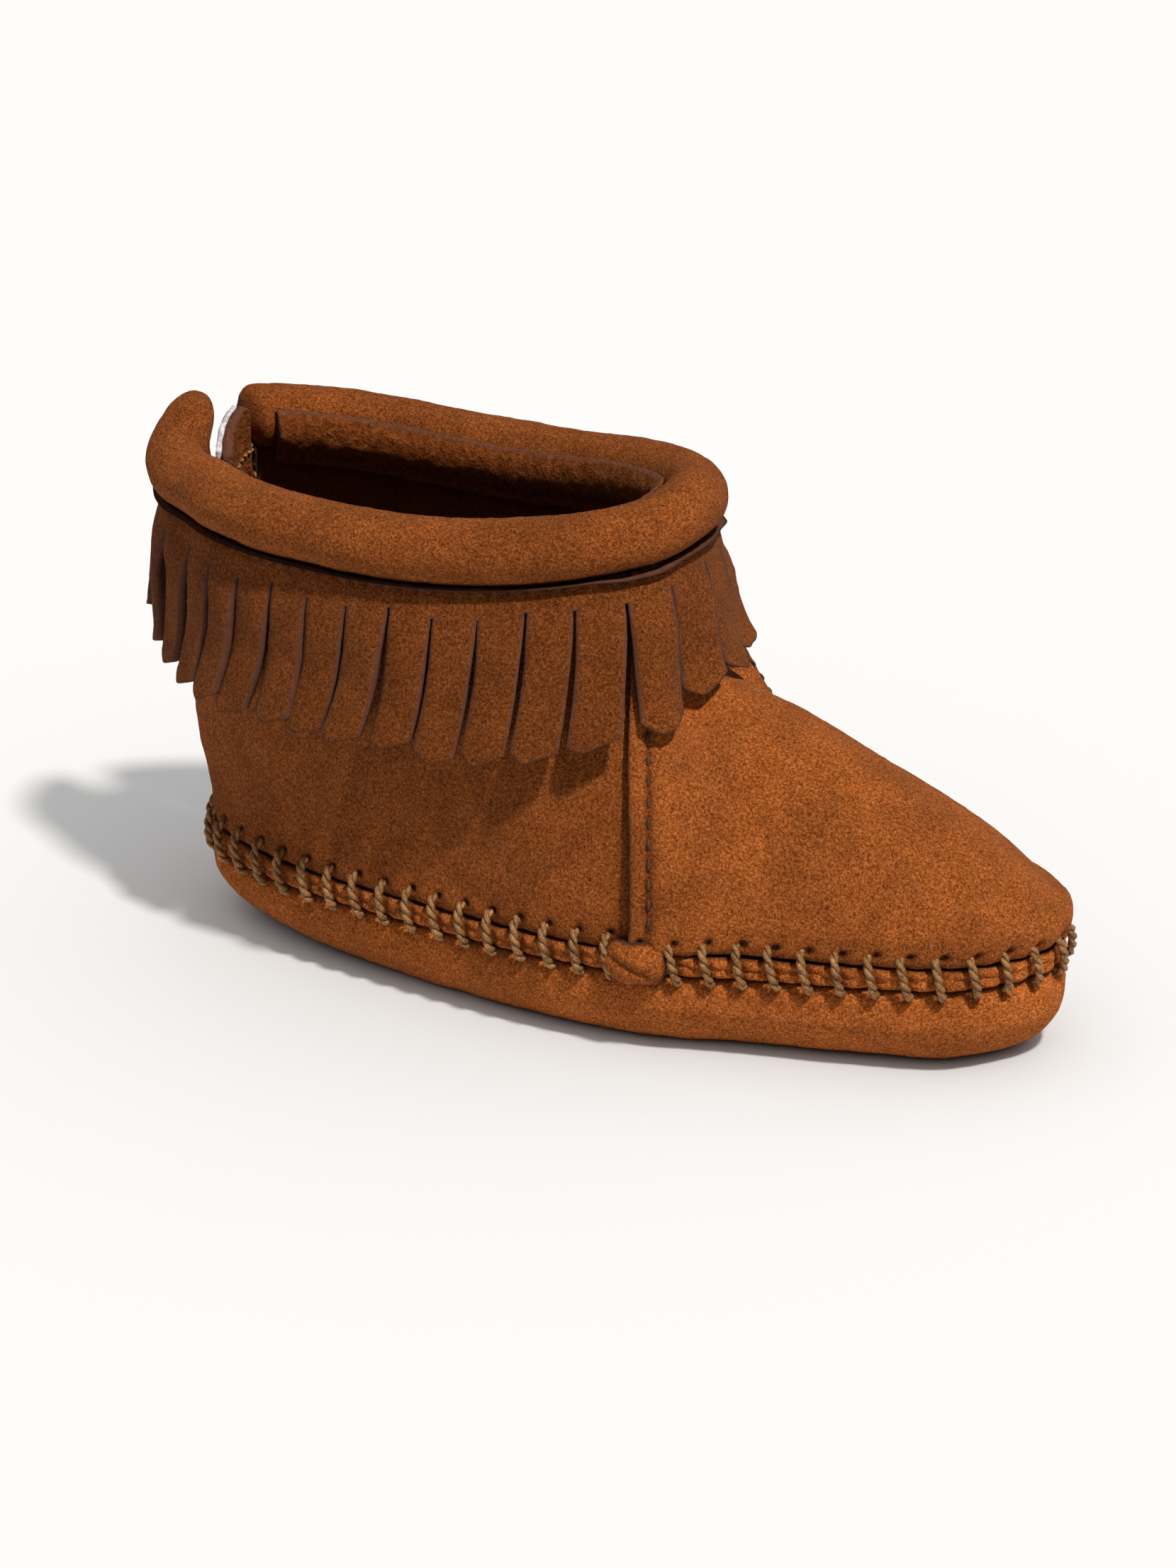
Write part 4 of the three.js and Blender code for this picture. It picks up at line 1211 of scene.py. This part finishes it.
def make_whip_stitches(material):
    """Two-ply cord over the welt at every step, its lower end leaning forward."""
    bundle = Bundle()
    steps = (np.arange(STITCH_COUNT) + 0.5) * STITCH_STEP
    stations = np.interp(steps, SEAM_LENGTHS, FINE_STATIONS)
    draw = np.random.default_rng(3)
    w = np.linspace(0.0, 1.0, 30)
    for s in stations:
        lean = 0.55 + draw.uniform(-0.15, 0.25)
        start = draw.uniform(0, math.pi)
        if abs(float(fold(s)[0]) - SIDE_SEAM) < TAB_ROOM:
            continue
        out = seam_normal(s)
        along = np.array([-out[1], out[0], 0.0])
        middle = seam_point(s) - UP * 1.15
        bulge = -1.0 + 2.45 * np.sin(np.pi * w) ** 0.42
        rise = 2.75 * np.cos(np.pi * w)
        path = (middle + out * bulge[:, None] + UP * rise[:, None]
                - along * (lean * np.cos(np.pi * w))[:, None])
        length = arc_lengths(path)
        tangent = unit(np.gradient(path, axis=0))
        side = unit(np.cross(tangent, along))
        for ply in (0.0, math.pi):
            turn = start + ply + length * PLY_TURN
            strand = path + PLY_OFFSET * (np.cos(turn)[:, None] * side
                                          + np.sin(turn)[:, None] * np.cross(side, tangent))
            bundle.tube(strand, np.full(len(w), PLY_RADIUS), sides=12, facing=along, lobes=4,
                        twist=1.6)
    made = bundle.make("whip_stitches", material)
    settle(made, "boot", "gold_cord", "whip_stitch_thread")


def make_vamp_stitches(side, name, node, material):
    """The row of sunken stitches beside one end of the vamp."""
    bundle = Bundle()
    edge = SIDE_SEAM if side < 0 else 20 - SIDE_SEAM
    heights = even(lambda t: wall_point(np.full(t.shape, edge), t), 0.07, 0.66, 2.7)
    for low, high in zip(heights[:-1], heights[1:]):
        t = mix(low, high, np.linspace(0.14, 0.80, 7))
        s = edge - side * VAMP_STITCH_OFFSET / station_length(edge, t)
        bow = np.array([-0.35, 0.05, 0.18, 0.22, 0.18, 0.05, -0.35])
        k, _ = fold(s)
        path = upper(s, t, 0.18 - vamp_proud(k) - bow)
        bundle.tube(path, [0.12, 0.20, 0.24, 0.25, 0.24, 0.20, 0.12], facing=collar_normal(90),
                    lobes=3, twist=2.0)
    made = bundle.make(name, material)
    settle(made, "boot", "gold_cord", node)


TAB_STATION = 6.05


def make_seam_tab(side, name, node, material):
    """The folded end of the side seam: a creased lump caught over the sole seam."""
    middle = TAB_STATION if side < 0 else 20 - TAB_STATION

    def place(u, v, face):
        reach = 0.27 * u * np.sqrt(np.clip(1 - 0.55 * v * v, 0, 1))
        s = middle + reach
        puff = 1.5 * (1 - np.clip(u * u * 0.8 + v * v * 0.8, 0, 1) ** 1.5)
        crease = 0.4 * bell(u * 0.6 + v * 0.9 + 0.15, 0.16) + 0.3 * bell(u - 0.45 - 0.3 * v, 0.14)
        p = seam_point(s)
        lump = 0.25 * noise(p + UP * v[..., None] * 3, 1.8, 41)
        radial = np.where(face == 0, 1.35 + puff - crease * puff + lump, 0.9)
        p = p + seam_normal(s) * radial[..., None]
        p[..., 2] += -1.2 + 3.0 * v
        return p

    def shade(u, v):
        # Painted shade round the tab's tucked-in edges and in its crease.
        edge = np.maximum(np.abs(u), np.abs(v))
        crease = 0.5 * bell(u * 0.6 + v * 0.9 + 0.15, 0.10)
        return np.clip(0.75 * smooth((edge - 0.86) / 0.14) + crease, 0, 1)

    grid = np.linspace(-1, 1, 19)
    made = shell(name, grid, grid, place, material, shade, layers=[(0.8, 0.08, 42)])
    settle(made, "boot", "suede", node)


# ---- the back fastening
def make_tapes(hook, loop):
    """Loop tape on the outer face of the flap, and hook tape inside the overlap."""
    def loop_place(angle, t, face):
        depth = flap_depth(angle, t) - GAP * 0.5 - TAPE * (1 - face)
        return upper(heel_station(angle), t, depth)

    def hook_place(angle, t, face):
        depth = SUEDE + GAP - overlap_lift(angle, t) + (TAPE - 0.3) * face
        return upper(heel_station(angle), t, depth)

    pile = [(0.55, 0.14, 51)]
    made = shell("loop_tape_pile", np.linspace(-7, 18, 30), np.linspace(0.66, FLAP_TOP, 60),
                 loop_place, loop, layers=pile)
    settle(made, "inner_flap", "tape", "loop_tape")
    made = shell("hook_tape_pile", np.linspace(-7, 15, 26), np.linspace(0.62, 0.80, 24),
                 hook_place, hook, layers=[(0.5, 0.1, 52)])
    settle(made, "overlap", "tape", "hook_tape")


FLAP_STITCH_BOW = np.array([-0.3, 0.1, 0.25, 0.25, 0.1, -0.3])   # proud of the leather
FLAP_STITCH_RADII = [0.12, 0.2, 0.25, 0.25, 0.2, 0.12]


def make_flap_stitches(material):
    """Gold row along the top of the flap, and the row down the seam it swings about."""
    bundle = Bundle()
    angles = np.linspace(FLAP_SEAM_ANGLE + 3, 16, 10)
    for low, high in zip(angles[:-1], angles[1:]):
        angle = mix(low, high, np.linspace(0.1, 0.85, 6))
        t = np.full(angle.shape, 1.025)
        path = upper(heel_station(angle), t, flap_depth(angle, t) + SUEDE + FLAP_STITCH_BOW)
        bundle.tube(path, FLAP_STITCH_RADII, lobes=3, twist=2.0)
    made = bundle.make("flap_stitches", material)
    settle(made, "inner_flap", "gold_cord", "flap_stitch")

    bundle = Bundle()
    row = FLAP_SEAM_ANGLE + 1.5
    heights = np.linspace(0.72, 0.98, 8)
    for low, high in zip(heights[:-1], heights[1:]):
        t = mix(low, high, np.linspace(0.12, 0.8, 6))
        path = upper(heel_station(row), t, flap_depth(row, t) + SUEDE + FLAP_STITCH_BOW)
        bundle.tube(path, FLAP_STITCH_RADII, facing=np.array([0, 1.0, 0]))
    made = bundle.make("flap_seam_stitches", material)
    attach(made, "boot")


# ---- assembly
def make_stage():
    """Pale floor, faint sky and the two lights."""
    bpy.ops.mesh.primitive_plane_add(size=8, location=(0, 0, -0.0001))
    floor = bpy.context.object
    floor.name = "floor"
    floor.data.materials.append(floor_material())
    scene = bpy.context.scene
    scene.view_settings.view_transform = "Standard"
    scene.world = bpy.data.worlds.new("studio")
    scene.world.use_nodes = True
    background = scene.world.node_tree.nodes["Background"]
    background.inputs["Color"].default_value = (1.0, 0.99, 0.98, 1.0)
    background.inputs["Strength"].default_value = 0.16
    make_sun("key", 3.6, (1.0, 0.97, 0.93), (0.45, -0.20, 0.90), 5)
    # A wash from above lights the floor alone, so that it stays pale round the shadow.
    wash = make_sun("floor_wash", 2.6, (1.0, 1.0, 1.0), (0.0, 0.0, 1.0), 120)
    wash.data.cycles.max_bounces = 0
    receivers = bpy.data.collections.new("floor_only")
    receivers.objects.link(floor)
    wash.light_linking.receiver_collection = receivers


def build():
    make_camera()
    make_stage()
    # Lit and shaded copies of one suede: the quarters, collar and fringe are darker as painted
    # shade, the sole lighter as painted light.
    vamp_leather = suede("suede_vamp", 1.0)
    quarter_leather = suede("suede_quarter", 0.76)
    collar_leather = suede("suede_collar", 0.74)
    fringe_leather = suede("suede_fringe", 0.48, relief=0.35)
    sole_leather = suede("suede_sole", 1.2)
    inner_leather = suede("suede_inner", 0.62, size=0.9, relief=0.8)
    gold = cord_material("gold_cord", (0.10, 0.040, 0.012), (0.56, 0.29, 0.11), 0.4, 0.38)
    dark_thread = cord_material("dark_thread", (0.015, 0.006, 0.003), (0.07, 0.03, 0.014),
                                0.0, 0.6)
    seam_thread = cord_material("seam_thread", (0.03, 0.011, 0.004), (0.15, 0.062, 0.02),
                                0.1, 0.5)
    foam = foam_material()

    make_sole(sole_leather)
    make_linings(foam, inner_leather)
    make_welt(sole_leather)
    make_whip_stitches(gold)
    make_vamp(vamp_leather)
    make_quarters(quarter_leather)
    make_back_panel(inner_leather)
    make_vamp_stitches(-1, "vamp_stitches_right", "vamp_stitch_right", seam_thread)
    make_vamp_stitches(1, "vamp_stitches_left", "vamp_stitch_left", seam_thread)
    make_seam_tab(-1, "seam_tab_suede_right", "seam_tab_right", vamp_leather)
    make_seam_tab(1, "seam_tab_suede_left", "seam_tab_left", vamp_leather)
    make_roll(collar_leather, foam)
    make_facing(inner_leather)
    make_collar_stitches(dark_thread)
    make_fringe(fringe_leather)
    make_tapes(tape_material("hook_pile", 0.45), tape_material("loop_pile", 0.8))
    make_flap_stitches(gold)


build()
